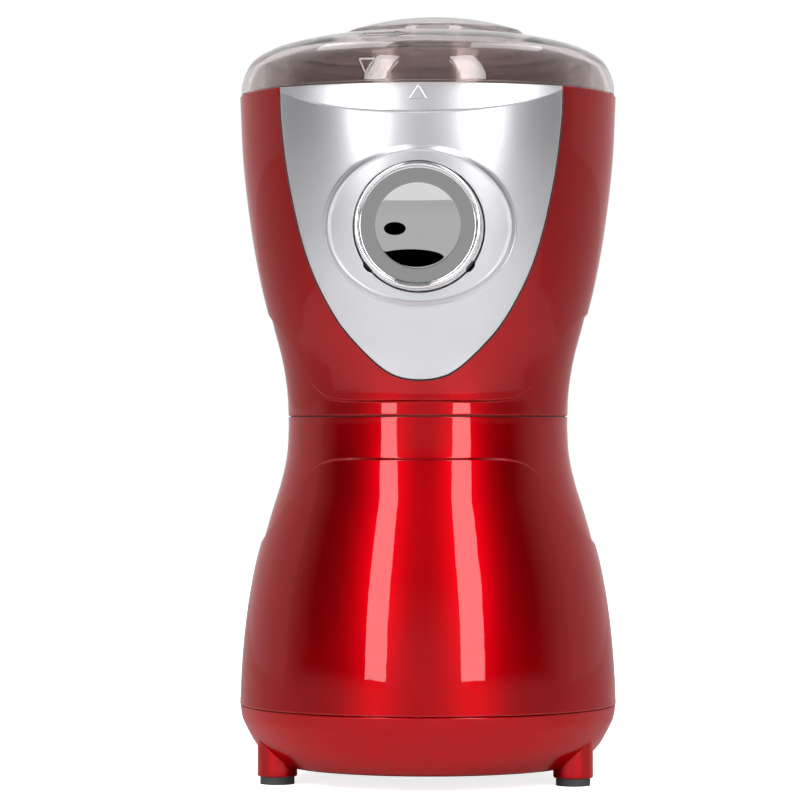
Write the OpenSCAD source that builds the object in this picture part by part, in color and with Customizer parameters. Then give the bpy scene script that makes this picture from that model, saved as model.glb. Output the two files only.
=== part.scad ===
// Electric spice grinder: hourglass body, push button on the front panel, twist-on clear lid.
// Millimetres. +Z up, -Y is the front, and the origin is on the table under the body's axis.

/* [Body] */
// Largest radius of the body, at its lid and at its base
body_r = 49.4; // [48:0.1:54]
// Outer radius of the body at its waist
waist_r = 37.2; // [36.6:0.1:40]
// Height of the narrowest point of the waist
waist_z = 93; // [90:0.5:96]
// Height of the joint between the upper and the lower housing
mid_seam_z = 95.3; // [93:0.1:98]
// Height of the joint between the lower housing and the base
base_seam_z = 19.9; // [18:0.1:24]
// Height of the joint between the body and the lid
lid_seam_z = 179.1; // [179:0.1:190]
// Wall of the housings
body_wall = 2.6; // [2.2:0.1:3]
// Depth of the recessed band round the waist
band_depth = 0.6; // [0.3:0.1:0.9]
// Chamfer of the edges that meet at a seam
seam_chamfer = 0.3; // [0.1:0.05:0.5]

/* [Base] */
// Height of the flat underside above the table
foot_h = 4.1; // [3.6:0.1:5]
// Wall of the base cover
base_wall = 2.2; // [1.8:0.1:2.6]
// Distance of the feet's centres inside the body's largest radius
foot_inset = 8.2; // [7.4:0.1:11.4]
// Angle of each front foot from the front
foot_angle = 68.5; // [55:0.5:75]
// Radius of a foot post
foot_r = 5.15; // [4.8:0.05:5.5]
// Radius of a rubber foot pad
pad_r = 4.45; // [3.8:0.05:4.6]
// Height of a rubber foot pad
pad_h = 2.0; // [1.5:0.1:2.4]
// Number of cooling slots in the underside
vent_count = 14; // [8:1:18]
// Width of a cooling slot
vent_w = 2.2; // [1.5:0.1:3]

/* [Front panel] */
// Thickness of the silver panel
panel_t = 1.2; // [1:0.1:1.4]
// Gap between the panel's edge and the housing
panel_gap = 0.25; // [0.15:0.05:0.4]
// Height of the scoop's crease below the lid joint
crease_drop = 7.7; // [6:0.1:9]
// Lean of the scoop from upright
scoop_tilt = 18; // [14:0.5:20]
// Radius of the cylinder that cuts the scoop
scoop_r = 58.3; // [56:0.1:62]
// Half width of the raised oval round the button
oval_half_w = 23.8; // [22:0.1:24.5]
// Half height of the raised oval
oval_half_h = 19.5; // [19.2:0.1:21]
// How far the oval stands proud
oval_rise = 0.5; // [0.3:0.1:0.8]

/* [Button] */
// Height of the button's centre below the lid joint
button_drop = 36.1; // [35.6:0.1:37]
// Radius of the button's bright rim
rim_r = 15.2; // [14.6:0.1:15.4]
// Radius of the rim's rounded bead
bead_r = 0.75; // [0.6:0.05:0.9]
// How far the button's face stands in front of the body
button_proud = 3.92; // [3.6:0.01:4.4]
// Draft of the button's skirt
skirt_draft = 12; // [10:0.5:13]
// Wall of the button cap
cap_wall = 1.3; // [1.1:0.1:1.5]
// Radius of the button's dished middle
dish_r = 10.7; // [9.5:0.1:11]
// Depth of the dish
dish_depth = 1.2; // [0.8:0.1:1.4]
// Radial gap round the button
button_gap = 0.5; // [0.4:0.05:0.6]
// Travel of the button
button_travel = 2.5; // [1.5:0.1:2.6]

/* [Lid] */
// Height of the lid's flat shoulder above the lid joint
lid_shoulder_h = 16.0; // [15.2:0.1:17]
// Height of the top of the dome above the lid joint
lid_h = 21.7; // [21:0.1:22.5]
// Radius of the dome's sphere
dome_sphere_r = 74; // [70:0.5:80]
// Radius of the dome's rim
dome_rim_r = 23.4; // [22:0.1:23.6]
// How far the dome's centre sits behind the axis
dome_back = 7; // [4:0.5:8]
// How far the dome's centre sits to the right of the axis
dome_side = 1.5; // [0:0.1:3]
// Wall of the lid
lid_wall = 2.2; // [1.8:0.1:2.6]
// Gap between the lid and the body
lid_gap = 0.35; // [0.3:0.05:0.6]
// Distance of the lid's inner collar inside the body's largest radius
collar_inset = 6.4; // [6.3:0.1:6.8]
// Wall of the collar
collar_wall = 1.7; // [1.4:0.1:2]
// Turn between the open and the locked place
lid_turn = 16.5; // [15:0.5:18]

/* [Cup] */
// Distance of the cup's inner wall inside the lid's collar
cup_inset = 10; // [9.8:0.1:11.5]
// Depth of the grinding cup
cup_depth = 44; // [42.5:0.5:44.5]
// Wall of the cup's steel
cup_wall = 0.8; // [0.6:0.05:0.9]
// Rounding between the cup's wall and its floor
cup_corner_r = 5; // [3:0.5:7]
// Gap between the cup and its holder
cup_gap = 0.4; // [0.3:0.05:0.5]
// Wall of the cup holder
holder_wall = 1.8; // [1.5:0.1:1.9]
// Depth of the lid channel below the lid joint
channel_depth = 7.1; // [7:0.1:7.6]
// Thickness of the cup holder's flange
flange_t = 2.0; // [1.8:0.1:2.2]

/* [Blade] */
// Gap between the blade's tips and the cup's wall
blade_gap = 3; // [2:0.5:7]
// Width of the blade
blade_w = 11; // [9:0.5:13]
// Thickness of the blade
blade_t = 1.5; // [1.2:0.1:2]
// Twist of the blade: one tip bends up and the other down by this angle
blade_tilt = 14; // [8:1:18]

/* [Motor] */
// Radius of the motor shaft
shaft_r = 3.0; // [2.5:0.1:3.2]
// Running clearance of the shaft in its bushes
run_fit = 0.04; // [0.02:0.01:0.08]
// Width of the stator across its flats
stator_w = 54; // [52:0.5:55]
// Radius of the stator's corners
stator_r = 30.8; // [30:0.1:31]
// Height of the stator's stack
stack_h = 24; // [20:0.5:24]
// Radius of the rotor's stack
rotor_r = 15; // [14:0.1:15.4]
// Air gap between rotor and stator
air_gap = 0.5; // [0.4:0.05:0.8]
// Radius of the commutator
commutator_r = 9; // [8:0.1:10]
// Radius of the cooling fan
fan_r = 26; // [22:0.5:27]
// Number of fan blades
fan_blades = 9; // [7:1:11]

/* [Hidden] */
$fn = 96;

red = [0.72, 0.04, 0.06];
silver = [0.8, 0.81, 0.83];
steel = [0.72, 0.72, 0.74];
copper = [0.72, 0.4, 0.2];
dark = [0.12, 0.12, 0.13];
grey = [0.4, 0.4, 0.42];
smoke = [0.42, 0.37, 0.36, 0.6];
natural = [0.9, 0.88, 0.82];

// Clearances and small sizes that several pieces share
eps = 0.01;
moving_gap = 0.4;
touch_gap = 0.3;
big = 200;
screw_r = 1.3;
screw_head_r = 2.8;
screw_head_h = 1.6;
boss_wall = 1.9;
wire_sides = 6;

// How far the body has flared at each share of the way from the waist to its wide end
upper_flare = [[0, 0], [0.1, 0.03], [0.2, 0.14], [0.3, 0.325], [0.444, 0.572], [0.6, 0.765], [0.8, 0.93],
               [1, 1]];
lower_flare = [[0, 0], [0.1, 0.033], [0.2, 0.157], [0.3, 0.343], [0.4, 0.515], [0.52, 0.695], [0.68, 0.855],
               [0.85, 0.955], [1, 1]];
// Edge of the waist band as seen from the front: half width, and height from the mid seam
band_top = [[0, 3.9], [19, 3.9], [24.5, 4.9], [28.2, 7.7], [31, 12.7], [35, 19.1], [41, 25.8], [54, 38.8]];
band_foot = [[0, -11], [20, -11], [25.8, -12], [29.1, -14.2], [32, -17.9], [35.4, -22.4], [43, -32.2],
             [56, -48]];
// Edge of the panel as seen from the front: half width, and height from the lid seam
panel_edge = [[36.0, 2], [35.6, -9], [33.3, -26], [28.6, -44.5], [21.5, -58.9], [14.2, -67.6], [7.2, -73.2],
              [0, -74.6]];
// Lid's outer wall: radius inside the body's radius, and height above the lid seam
lid_edge = [[0.4, 0], [0.5, 2.6], [1.4, 5.8], [3.2, 8.9], [7, 11.5], [12.2, 13.4], [21.4, 15.4], [27.5, 16]];
// Base's outer wall: radius inside the body's radius, and height as a share of the base's side
base_edge = [[0.1, 1], [0.6, 0.8], [1.3, 0.69], [3.9, 0.385], [6.4, 0.2], [9.5, 0.04], [11.6, 0]];

// Smooth curve through a few points, with n pieces between neighbours
function span(p, i) = norm(p[i + 1] - p[i]);
function lean(p, i, own) =
    i == 0 || i == len(p) - 1
        ? (p[min(i + 1, len(p) - 1)] - p[max(i - 1, 0)])
        : (p[i + 1] - p[i - 1]) * own / (span(p, i - 1) + span(p, i));
function blend(a, b, ta, tb, t) =
    a * (2 * pow(t, 3) - 3 * pow(t, 2) + 1) + ta * (pow(t, 3) - 2 * pow(t, 2) + t)
    + b * (3 * pow(t, 2) - 2 * pow(t, 3)) + tb * (pow(t, 3) - pow(t, 2));
function curve(p, n) = [
    for (i = [0:len(p) - 2], k = [0:n - 1])
        blend(p[i], p[i + 1], lean(p, i, span(p, i)), lean(p, i + 1, span(p, i)), k / n),
    p[len(p) - 1]];
function mirrored(p) = [for (i = [len(p) - 1:-1:0]) [-p[i][0], p[i][1]]];
function outward(d) = [-d[1], d[0]] / norm(d);
function swell(p, g) = [
    for (i = [0:len(p) - 1])
        p[i] + g * outward(p[min(i + 1, len(p) - 1)] - p[max(i - 1, 0)])];

// Body outline
upper_table = curve(upper_flare, 5);
lower_table = curve(lower_flare, 5);
function flare(z) = z > waist_z
    ? lookup((z - waist_z) / (lid_seam_z - waist_z), upper_table)
    : lookup((waist_z - z) / (waist_z - base_seam_z), lower_table);
function shell_r(z) = waist_r + (body_r - waist_r) * flare(z);
shell_step = 7;
function stations(z0, z1) = let(n = ceil((z1 - z0) / shell_step)) [for (k = [0:n]) z0 + (z1 - z0) * k / n];
function shell_line(z0, z1, inset) = [for (z = stations(z0, z1)) [shell_r(z) - inset, z]];

module shell_solid(z0, z1, inset = 0) {
    rotate_extrude()
        polygon(concat([[0, z0]], shell_line(z0, z1, inset), [[0, z1]]));
}

module chamfered_shell(z0, z1, c0, c1) {
    line = concat([[shell_r(z0) - c0, z0], [shell_r(z0 + c0), z0 + c0]],
                  [for (z = stations(z0, z1)) if (z > z0 + 1 && z < z1 - 1) [shell_r(z), z]],
                  [[shell_r(z1 - c1), z1 - c1], [shell_r(z1) - c1, z1]]);
    rotate_extrude()
        polygon(concat([[0, z0]], line, [[0, z1]]));
}

module front_prism(points, y0, y1) {
    translate([0, y1, 0])
        rotate([90, 0, 0])
            linear_extrude(y1 - y0)
                polygon(points);
}

module ring(r_in, r_out, z0, z1) {
    translate([0, 0, z0])
        rotate_extrude()
            translate([r_in, 0])
                square([r_out - r_in, z1 - z0]);
}

module sector(r_in, r_out, z0, z1, a0, a1) {
    translate([0, 0, z0])
        rotate([0, 0, a0])
            rotate_extrude(angle = a1 - a0)
                translate([r_in, 0])
                    square([r_out - r_in, z1 - z0]);
}

module around(angles, r) {
    for (a = angles)
        rotate([0, 0, a])
            translate([r, 0, 0])
                children();
}

module rod(r, z0, z1) {
    translate([0, 0, z0])
        cylinder(r = r, h = z1 - z0);
}

module block(x0, x1, y0, y1, z0, z1) {
    translate([x0, y0, z0])
        cube([x1 - x0, y1 - y0, z1 - z0]);
}

// Coil spring along Z from z0 to z1, swept as one polyhedron
module coil_spring(mean_r, wire_r, turns, z0, z1, steps = 10) {
    count = turns * steps;
    rise = z1 - z0 - 2 * wire_r;
    points = [for (i = [0:count], k = [0:wire_sides - 1])
        let(a = 360 * i / steps, b = 360 * k / wire_sides, r = mean_r + wire_r * cos(b))
        [r * cos(a), r * sin(a), z0 + wire_r + rise * i / count + wire_r * sin(b)]];
    sides = [for (i = [0:count - 1], k = [0:wire_sides - 1])
        let(n = (k + 1) % wire_sides)
        [i * wire_sides + k, i * wire_sides + n, (i + 1) * wire_sides + n, (i + 1) * wire_sides + k]];
    first = [for (k = [wire_sides - 1:-1:0]) k];
    last = [for (k = [0:wire_sides - 1]) count * wire_sides + k];
    polyhedron(points, concat(sides, [first, last]), convexity = 10);
}

// Radii that several pieces share, worked out from the body inwards
collar_r = body_r - collar_inset;
collar_in_r = collar_r - collar_wall;
cup_r = collar_r - cup_inset;
blade_reach = cup_r - blade_gap;
foot_ring_r = body_r - foot_inset;

// Heights that several pieces share, worked out from the top down
flange_top_z = lid_seam_z - channel_depth;
flange_z = flange_top_z - flange_t;
cup_rim_drop = 1.1;
cup_rim_z = lid_seam_z - cup_rim_drop;
cup_floor_z = cup_rim_z - cup_depth;
seal_t = 1.0;
well_top_z = cup_floor_z - cup_wall - seal_t;
well_floor_t = 2.4;
well_z = well_top_z - well_floor_t;
well_in_r = cup_r + cup_wall + cup_gap;
well_r = well_in_r + holder_wall;
button_z = lid_seam_z - button_drop;
crease_z = lid_seam_z - crease_drop;

// Distances in front of the axis, worked out from the button's face backwards
face_h = shell_r(button_z) + button_proud;
skirt_back_h = face_h - 8.2;
slot_front_h = face_h - 3.9;
guide_front_y = 11 - face_h;
tail_rear_y = 14.2 - face_h;

// Scoop: everything in front of this leaning cylinder is cut away above the crease
module scoop_keep(inset) {
    translate([0, -shell_r(crease_z), crease_z])
        rotate([-scoop_tilt, 0, 0])
            translate([0, scoop_r, -big])
                cylinder(r = scoop_r - inset, h = 2 * big);
}

// Seen from the front, the solid inside the body's outline and behind the scoop
module panel_core(inset) {
    intersection() {
        shell_solid(mid_seam_z - 5, lid_seam_z, inset);
        scoop_keep(inset);
    }
}

function panel_points(gap) =
    let(right = [for (p = panel_edge) [p[0], p[1] + lid_seam_z]])
    swell(curve(concat(right, [for (i = [1:len(right) - 1]) mirrored(right)[i]]), 3), gap);

// ---------------------------------------------------------------- upper housing
ledge_t = 2.0;
ledge_in_r = body_r - 4.8;
holder_screw_r = body_r - 5.8;
holder_screw_angles = [75, 195, 315];
holder_boss_h = 8;
peg_r = 2.0;
peg_x = 19.5;
peg_rise = 9;
low_peg_z = mid_seam_z + 16.7;
low_peg_end_y = 4.81 - shell_r(low_peg_z);
lug_angles = [90, 210, 330];
lug_half = 6;
lug_reach = 1.3;
lug_h = 1.8;
lug_gap = 0.4;
housing_lug_h = 2.2;
housing_lug_in_r = collar_r + 0.5;
lid_foot_z = flange_top_z + lug_gap;
housing_lug_z = lid_foot_z + lug_h + lug_gap;
lip_wall = 1.5;
lip_h = 3.5;
lip_gap = 0.1;
button_hole_r = 18.6;

function band_side(edge) = [for (p = curve(edge, 3)) p + [0, mid_seam_z]];

// Recessed band round the waist: its two edges bend away from the seam towards the sides
module band_cut() {
    foot = band_side(band_foot);
    right = concat(band_side(band_top), [for (i = [len(foot) - 1:-1:0]) foot[i]]);
    intersection() {
        front_prism(concat(right, mirrored(right)), -big, big);
        difference() {
            shell_solid(base_seam_z, lid_seam_z, -2);
            shell_solid(base_seam_z, lid_seam_z, band_depth);
        }
    }
}

module panel_pegs(r, y_front) {
    for (side = [-1, 1])
        translate([side * peg_x, guide_front_y, button_z + peg_rise])
            rotate([90, 0, 0])
                cylinder(r = r, h = -y_front + guide_front_y);
    translate([0, low_peg_end_y, low_peg_z])
        rotate([90, 0, 0])
            cylinder(r = r, h = -y_front + low_peg_end_y);
}

module upper_housing() {
    color(red)
        difference() {
            union() {
                difference() {
                    chamfered_shell(mid_seam_z, lid_seam_z, seam_chamfer, seam_chamfer);
                    intersection() {
                        shell_solid(mid_seam_z - eps, lid_seam_z + eps, body_wall);
                        scoop_keep(body_wall);
                    }
                }
                ring(ledge_in_r, shell_r(flange_z) - body_wall / 2, flange_z - ledge_t, flange_z);
                for (a = lug_angles)
                    sector(housing_lug_in_r, shell_r(lid_seam_z) - body_wall / 2 - panel_t, housing_lug_z,
                           housing_lug_z + housing_lug_h, a + lid_turn - lug_half, a + lid_turn + lug_half);
                intersection() {
                    around(holder_screw_angles, holder_screw_r)
                        rod(screw_r + boss_wall, flange_z - holder_boss_h, flange_z);
                    shell_solid(mid_seam_z, lid_seam_z, body_wall / 2);
                }
            }
            band_cut();
            intersection() {
                front_prism(panel_points(panel_gap), -big, 0);
                difference() {
                    shell_solid(mid_seam_z - 5, lid_seam_z + 5, -2);
                    panel_core(panel_t);
                }
            }
            translate([0, 0, button_z])
                rotate([90, 0, 0])
                    cylinder(r = button_hole_r, h = big);
            panel_pegs(peg_r + 0.2, -big);
            around(holder_screw_angles, holder_screw_r)
                rod(screw_r, flange_z - holder_boss_h - eps, flange_z + eps);
        }
}

// ---------------------------------------------------------------- lower housing
grommet_z = base_seam_z + 12.1;
grommet_hole_r = 5.2;
grommet_bore_r = 3.4;
case_screw_angles = [30, 150, 270];
case_screw_ring_r = 33;
case_boss_r = 4;
case_boss_h = 12;
case_rib_t = 2.4;
base_lip_h = 3;

module lower_housing() {
    lip_out = shell_r(mid_seam_z) - body_wall - lip_gap;
    color(red)
        difference() {
            union() {
                difference() {
                    chamfered_shell(base_seam_z, mid_seam_z, seam_chamfer, seam_chamfer);
                    shell_solid(base_seam_z - eps, mid_seam_z + eps, body_wall);
                }
                ring(lip_out - lip_wall, lip_out, mid_seam_z - lip_h, mid_seam_z + lip_h);
                ring(lip_out - lip_wall, shell_r(mid_seam_z) - body_wall / 2, mid_seam_z - lip_h, mid_seam_z - 1);
                for (a = case_screw_angles)
                    rotate([0, 0, a]) {
                        translate([case_screw_ring_r, 0, 0])
                            rod(case_boss_r, base_seam_z, base_seam_z + case_boss_h);
                        block(case_screw_ring_r, shell_r(base_seam_z) - body_wall / 2, -case_rib_t / 2,
                              case_rib_t / 2, base_seam_z + base_lip_h + 1, base_seam_z + case_boss_h);
                    }
            }
            band_cut();
            around(case_screw_angles, case_screw_ring_r)
                rod(screw_r, base_seam_z - eps, base_seam_z + case_boss_h - 2);
            translate([0, 0, grommet_z])
                rotate([-90, 0, 0])
                    cylinder(r = grommet_hole_r, h = big);
        }
}

// ---------------------------------------------------------------- base cover and feet
base_lip_r = shell_r(base_seam_z + base_lip_h) - body_wall - lip_gap;
foot_angles = [-90 - foot_angle, -90 + foot_angle, 90];
pad_stem_r = 2.2;
pad_stem_h = 3;
head_bore_r = screw_head_r + 0.6;
case_seat_z = base_seam_z - 4;
vent_in_r = 10;
vent_len = 11;
base_post_h = 9;

function base_line() = [for (p = curve(base_edge, 3)) [body_r - p[0], foot_h + p[1] * (base_seam_z - foot_h)]];

module base_form(inset) {
    line = base_line();
    points = [for (p = line) [p[0] - inset, max(p[1], foot_h + inset)]];
    rotate_extrude()
        polygon(concat([[0, base_seam_z + (inset > 0 ? eps : 0)]],
                       [[line[0][0] - inset, base_seam_z + (inset > 0 ? eps : 0)]],
                       [for (i = [1:len(points) - 1]) if (line[i][1] > foot_h + inset || inset == 0) points[i]],
                       inset > 0 ? [[body_r - base_edge[4][0] - inset, foot_h + inset]] : [],
                       [[0, foot_h + inset]]));
}

module base_cover() {
    color(red)
        difference() {
            union() {
                difference() {
                    base_form(0);
                    base_form(base_wall);
                }
                ring(base_lip_r - lip_wall, base_lip_r, base_seam_z - lip_h, base_seam_z + base_lip_h);
                ring(base_lip_r - lip_wall, body_r - base_wall / 2, base_seam_z - lip_h, base_seam_z - 1);
                around(foot_angles, foot_ring_r)
                    rod(foot_r, pad_h, base_post_h);
                around(case_screw_angles, case_screw_ring_r)
                    rod(case_boss_r + 1, foot_h, base_seam_z);
            }
            around(foot_angles, foot_ring_r)
                rod(pad_stem_r, pad_h - eps, pad_h + pad_stem_h);
            around(case_screw_angles, case_screw_ring_r) {
                rod(head_bore_r, foot_h - eps, case_seat_z);
                rod(screw_r + 0.2, foot_h, base_seam_z + eps);
            }
            for (k = [0:vent_count - 1])
                rotate([0, 0, 360 * k / vent_count])
                    block(vent_in_r, vent_in_r + vent_len, -vent_w / 2, vent_w / 2, foot_h - 1,
                          foot_h + base_wall + 1);
        }
}

module foot_pads() {
    color(dark)
        around(foot_angles, foot_ring_r)
            union() {
                rod(pad_r, 0, pad_h);
                rod(pad_stem_r, pad_h - eps, pad_h + pad_stem_h);
            }
}

module case_screws() {
    color(steel)
        around(case_screw_angles, case_screw_ring_r)
            union() {
                rod(screw_head_r, case_seat_z - screw_head_h, case_seat_z);
                rod(screw_r, case_seat_z - eps, base_seam_z + case_boss_h - 4);
            }
}

// ---------------------------------------------------------------- front panel and button
function skirt_r(h) = rim_r + bead_r + (face_h - bead_r - h) * tan(skirt_draft);
oval_points = 40;

module button_frame() {
    translate([0, 0, button_z])
        rotate([90, 0, 0])
            children();
}

module skirt_cone(grow, h0, h1) {
    translate([0, 0, h0])
        cylinder(r1 = skirt_r(h0) + grow, r2 = skirt_r(h1) + grow, h = h1 - h0);
}

module front_panel() {
    oval = [for (k = [0:oval_points - 1])
        [oval_half_w * cos(360 * k / oval_points), button_z + oval_half_h * sin(360 * k / oval_points)]];
    color(silver)
        difference() {
            union() {
                intersection() {
                    front_prism(panel_points(0), -big, 0);
                    difference() {
                        panel_core(0);
                        panel_core(panel_t);
                    }
                }
                intersection() {
                    front_prism(oval, -big, 0);
                    difference() {
                        shell_solid(mid_seam_z, lid_seam_z - 5, -oval_rise);
                        shell_solid(mid_seam_z - 1, lid_seam_z, panel_t / 2);
                    }
                }
                intersection() {
                    panel_pegs(peg_r, -big);
                    panel_core(panel_t / 2);
                }
            }
            button_frame()
                skirt_cone(button_gap, skirt_back_h - 12, face_h + 1.8);
            panel_pegs_bore();
        }
}

peg_screw_r = screw_r - 0.3;
peg_bore_depth = 3.5;

module panel_pegs_bore() {
    for (side = [-1, 1])
        translate([side * peg_x, guide_front_y + eps, button_z + peg_rise])
            rotate([90, 0, 0])
                cylinder(r = peg_screw_r, h = peg_bore_depth);
    translate([0, low_peg_end_y + eps, low_peg_z])
        rotate([90, 0, 0])
            cylinder(r = peg_screw_r, h = peg_bore_depth - 1);
}

guide_t = 1.5;
guide_low_z = well_z + 0.3;
guide_top = 13;

module panel_screws() {
    color(steel) {
        for (side = [-1, 1])
            translate([side * peg_x, guide_front_y + guide_t, button_z + peg_rise])
                rotate([90, 0, 0]) {
                    cylinder(r = peg_screw_r, h = guide_t + peg_bore_depth - 0.5);
                    translate([0, 0, -screw_head_h])
                        cylinder(r = peg_screw_r + 1.5, h = screw_head_h);
                }
        translate([0, low_peg_end_y, low_peg_z])
            rotate([90, 0, 0]) {
                cylinder(r = peg_screw_r, h = peg_bore_depth - 1.5);
                translate([0, 0, -screw_head_h])
                    cylinder(r = peg_r + 1.2, h = screw_head_h);
            }
    }
}

pin_x = 9;
pin_r = 1.2;
spring_pocket_r = 2.9;

module button_guide() {
    color(dark)
        difference() {
            intersection() {
                block(-big, big, guide_front_y, guide_front_y + guide_t, guide_low_z, button_z + guide_top);
                shell_solid(mid_seam_z, lid_seam_z, body_wall);
            }
            for (side = [-1, 1]) {
                translate([side * pin_x, 0, button_z])
                    rotate([90, 0, 0])
                        cylinder(r = pin_r + 0.15, h = big);
                translate([side * peg_x, 0, button_z + peg_rise])
                    rotate([90, 0, 0])
                        cylinder(r = peg_screw_r, h = big);
            }
        }
}

slot_w = 2.6;
slot_angles = [-38, -142];
dish_edge_drop = 1.6;

module start_button() {
    bead = [for (a = [0:30:180]) [rim_r + bead_r * cos(a), face_h - bead_r + bead_r * sin(a)]];
    dish = [for (k = [0:5]) let(r = dish_r * (1 - k / 5))
        [r, face_h - dish_edge_drop - dish_depth * (1 - pow(r / dish_r, 2))]];
    outer = concat([[skirt_r(skirt_back_h), skirt_back_h]], bead, dish);
    inner_h = face_h - dish_edge_drop - dish_depth - cap_wall;
    inner = [[0, inner_h], [dish_r, inner_h + dish_depth / 2], [skirt_r(inner_h + 1) - cap_wall, inner_h + 1],
             [skirt_r(skirt_back_h) - cap_wall, skirt_back_h]];
    color("gainsboro")
        button_frame()
            difference() {
                rotate_extrude()
                    polygon(concat(outer, inner));
                for (a = slot_angles)
                    rotate([0, 0, a])
                        block(rim_r - 2, rim_r + 5, -slot_w / 2, slot_w / 2, skirt_back_h - 1, slot_front_h);
            }
}

snap_gap = 0.1;
carrier_h0 = -guide_front_y + button_travel + 0.7;
carrier_h1 = carrier_h0 + 3.4;
tail_w = 6;
tail_t = 2.0;
tail_top_z = well_z - moving_gap;
tail_foot_z = mid_seam_z + 23.2;

module button_carrier() {
    color(dark)
        union() {
            button_frame()
                difference() {
                    union() {
                        skirt_cone(-cap_wall, carrier_h0, carrier_h1);
                        for (a = slot_angles)
                            rotate([0, 0, a])
                                block(rim_r - 2, skirt_r(carrier_h1) - touch_gap, -slot_w / 2 + snap_gap,
                                      slot_w / 2 - snap_gap, carrier_h0, carrier_h1);
                    }
                    for (side = [-1, 1])
                        translate([side * pin_x, 0, carrier_h0 - eps])
                            cylinder(r = spring_pocket_r, h = 2.6);
                }
            for (side = [-1, 1])
                translate([side * pin_x, -carrier_h1 + 0.5, button_z])
                    rotate([-90, 0, 0])
                        cylinder(r = pin_r, h = carrier_h1 - 0.5 + guide_front_y + 0.6);
            block(-tail_w / 2, tail_w / 2, -carrier_h0 - 0.8, tail_rear_y, tail_top_z - tail_t, tail_top_z);
            block(-tail_w / 2, tail_w / 2, tail_rear_y - tail_t, tail_rear_y, tail_foot_z, tail_top_z);
        }
}

module button_springs() {
    color(steel)
        for (side = [-1, 1])
            translate([side * pin_x, guide_front_y, button_z])
                rotate([90, 0, 0])
                    coil_spring(2.1, 0.3, 4, 0.05, carrier_h0 + guide_front_y + 2.5);
}

// ---------------------------------------------------------------- switches
switch_l = 20;
switch_t = 6.4;
switch_d = 10;
switch_hole_x = 4.75;
plunger_w = 3;
plunger_depth = 1.2;
start_switch_y = tail_rear_y + 3.4;
start_switch_z = tail_foot_z + 2.6;
lock_switch_angle = 150;
lock_switch_r = well_r + 1.1;
ring_top_z = flange_z - 0.7;
ring_h = 3;
ring_z = ring_top_z - ring_h;
lock_plunger_r = lock_switch_r + switch_t / 2;
lock_switch_top_z = ring_z - 6.2;
ramp_rise = 2.0;
lock_gap = 0.5;

module switch_case() {
    difference() {
        block(-switch_l / 2, switch_l / 2, 0, switch_d, -switch_t / 2, switch_t / 2);
        for (side = [-1, 1])
            translate([side * switch_hole_x, switch_d / 2, -switch_t])
                cylinder(r = screw_r, h = 2 * switch_t);
        block(-plunger_w / 2 - 0.2, plunger_w / 2 + 0.2, -1, 4, -plunger_w / 2 - 0.2, plunger_w / 2 + 0.2);
    }
}

module start_switch() {
    color(dark)
        translate([0, start_switch_y, start_switch_z])
            switch_case();
}

module start_plunger() {
    color(natural)
        translate([0, start_switch_y, start_switch_z])
            block(-plunger_w / 2, plunger_w / 2, tail_rear_y - start_switch_y + touch_gap, plunger_depth,
                  -plunger_w / 2, plunger_w / 2);
}

module interlock_switch() {
    color(dark)
        rotate([0, 0, lock_switch_angle])
            translate([lock_plunger_r, 0, lock_switch_top_z])
                rotate([0, 0, 90])
                    rotate([-90, 0, 0])
                        switch_case();
}

module interlock_plunger() {
    tip_z = ring_z - 0.5 - lock_gap;
    color(natural)
        rotate([0, 0, lock_switch_angle])
            translate([lock_plunger_r, 0, 0])
                block(-plunger_w / 2, plunger_w / 2, -plunger_w / 2, plunger_w / 2,
                      lock_switch_top_z - plunger_depth, tip_z);
}

module switch_screws() {
    color(steel) {
        for (side = [-1, 1])
            translate([side * switch_hole_x, start_switch_y + switch_d / 2, start_switch_z - switch_t / 2]) {
                rod(screw_r, -eps, switch_t + 4);
                rod(screw_head_r - 0.4, -screw_head_h, 0);
            }
        rotate([0, 0, lock_switch_angle])
            for (side = [-1, 1])
                translate([lock_switch_r + switch_t, side * switch_hole_x, lock_switch_top_z - switch_d / 2])
                    rotate([0, -90, 0]) {
                        rod(screw_r, -eps, switch_t + 0.9);
                        rod(screw_head_r - 0.4, -1.0, 0);
                    }
    }
}

// ---------------------------------------------------------------- interlock ring
key_angle = 30;
key_half = 3;
key_foot_z = flange_z - 2.5;
fork_half = 7;
ring_out_r = collar_in_r - 1.4;

module interlock_ring() {
    wedge_t = lock_plunger_r * lid_turn * PI / 180;
    color(natural)
        union() {
            difference() {
                union() {
                    ring(well_r + touch_gap, ring_out_r, ring_z, ring_top_z);
                    sector(ring_out_r - 0.9, collar_r + 1, ring_z, ring_top_z, key_angle - fork_half,
                           key_angle + fork_half);
                }
                sector(collar_in_r - moving_gap, collar_r + 2, ring_z - 1, ring_top_z + 1,
                       key_angle - key_half - 0.7, key_angle + key_half + 0.7);
            }
            intersection() {
                sector(ring_out_r - 1, collar_r - moving_gap, ring_z - 4, ring_top_z, lock_switch_angle - 22,
                       lock_switch_angle + 6);
                rotate([0, 0, lock_switch_angle])
                    rotate([90, 0, 90])
                        linear_extrude(big)
                            polygon([[-wedge_t - 2, ring_top_z], [-wedge_t - 2, ring_z - 0.5 - ramp_rise],
                                     [-wedge_t, ring_z - 0.5 - ramp_rise], [0, ring_z - 0.5],
                                     [2.5, ring_z - 0.5], [2.5, ring_top_z]]);
            }
        }
}

// ---------------------------------------------------------------- cup holder
damper_t = 3;
bracket_t = 3;
post_r = 4;
post_ring_r = 28;
post_angles = [90, 210, 330];
bracket_top_z = tail_foot_z - 2.7;
post_foot_z = bracket_top_z + damper_t;
seal_hole_r = 7.5;
support_h = 1.3;

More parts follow.
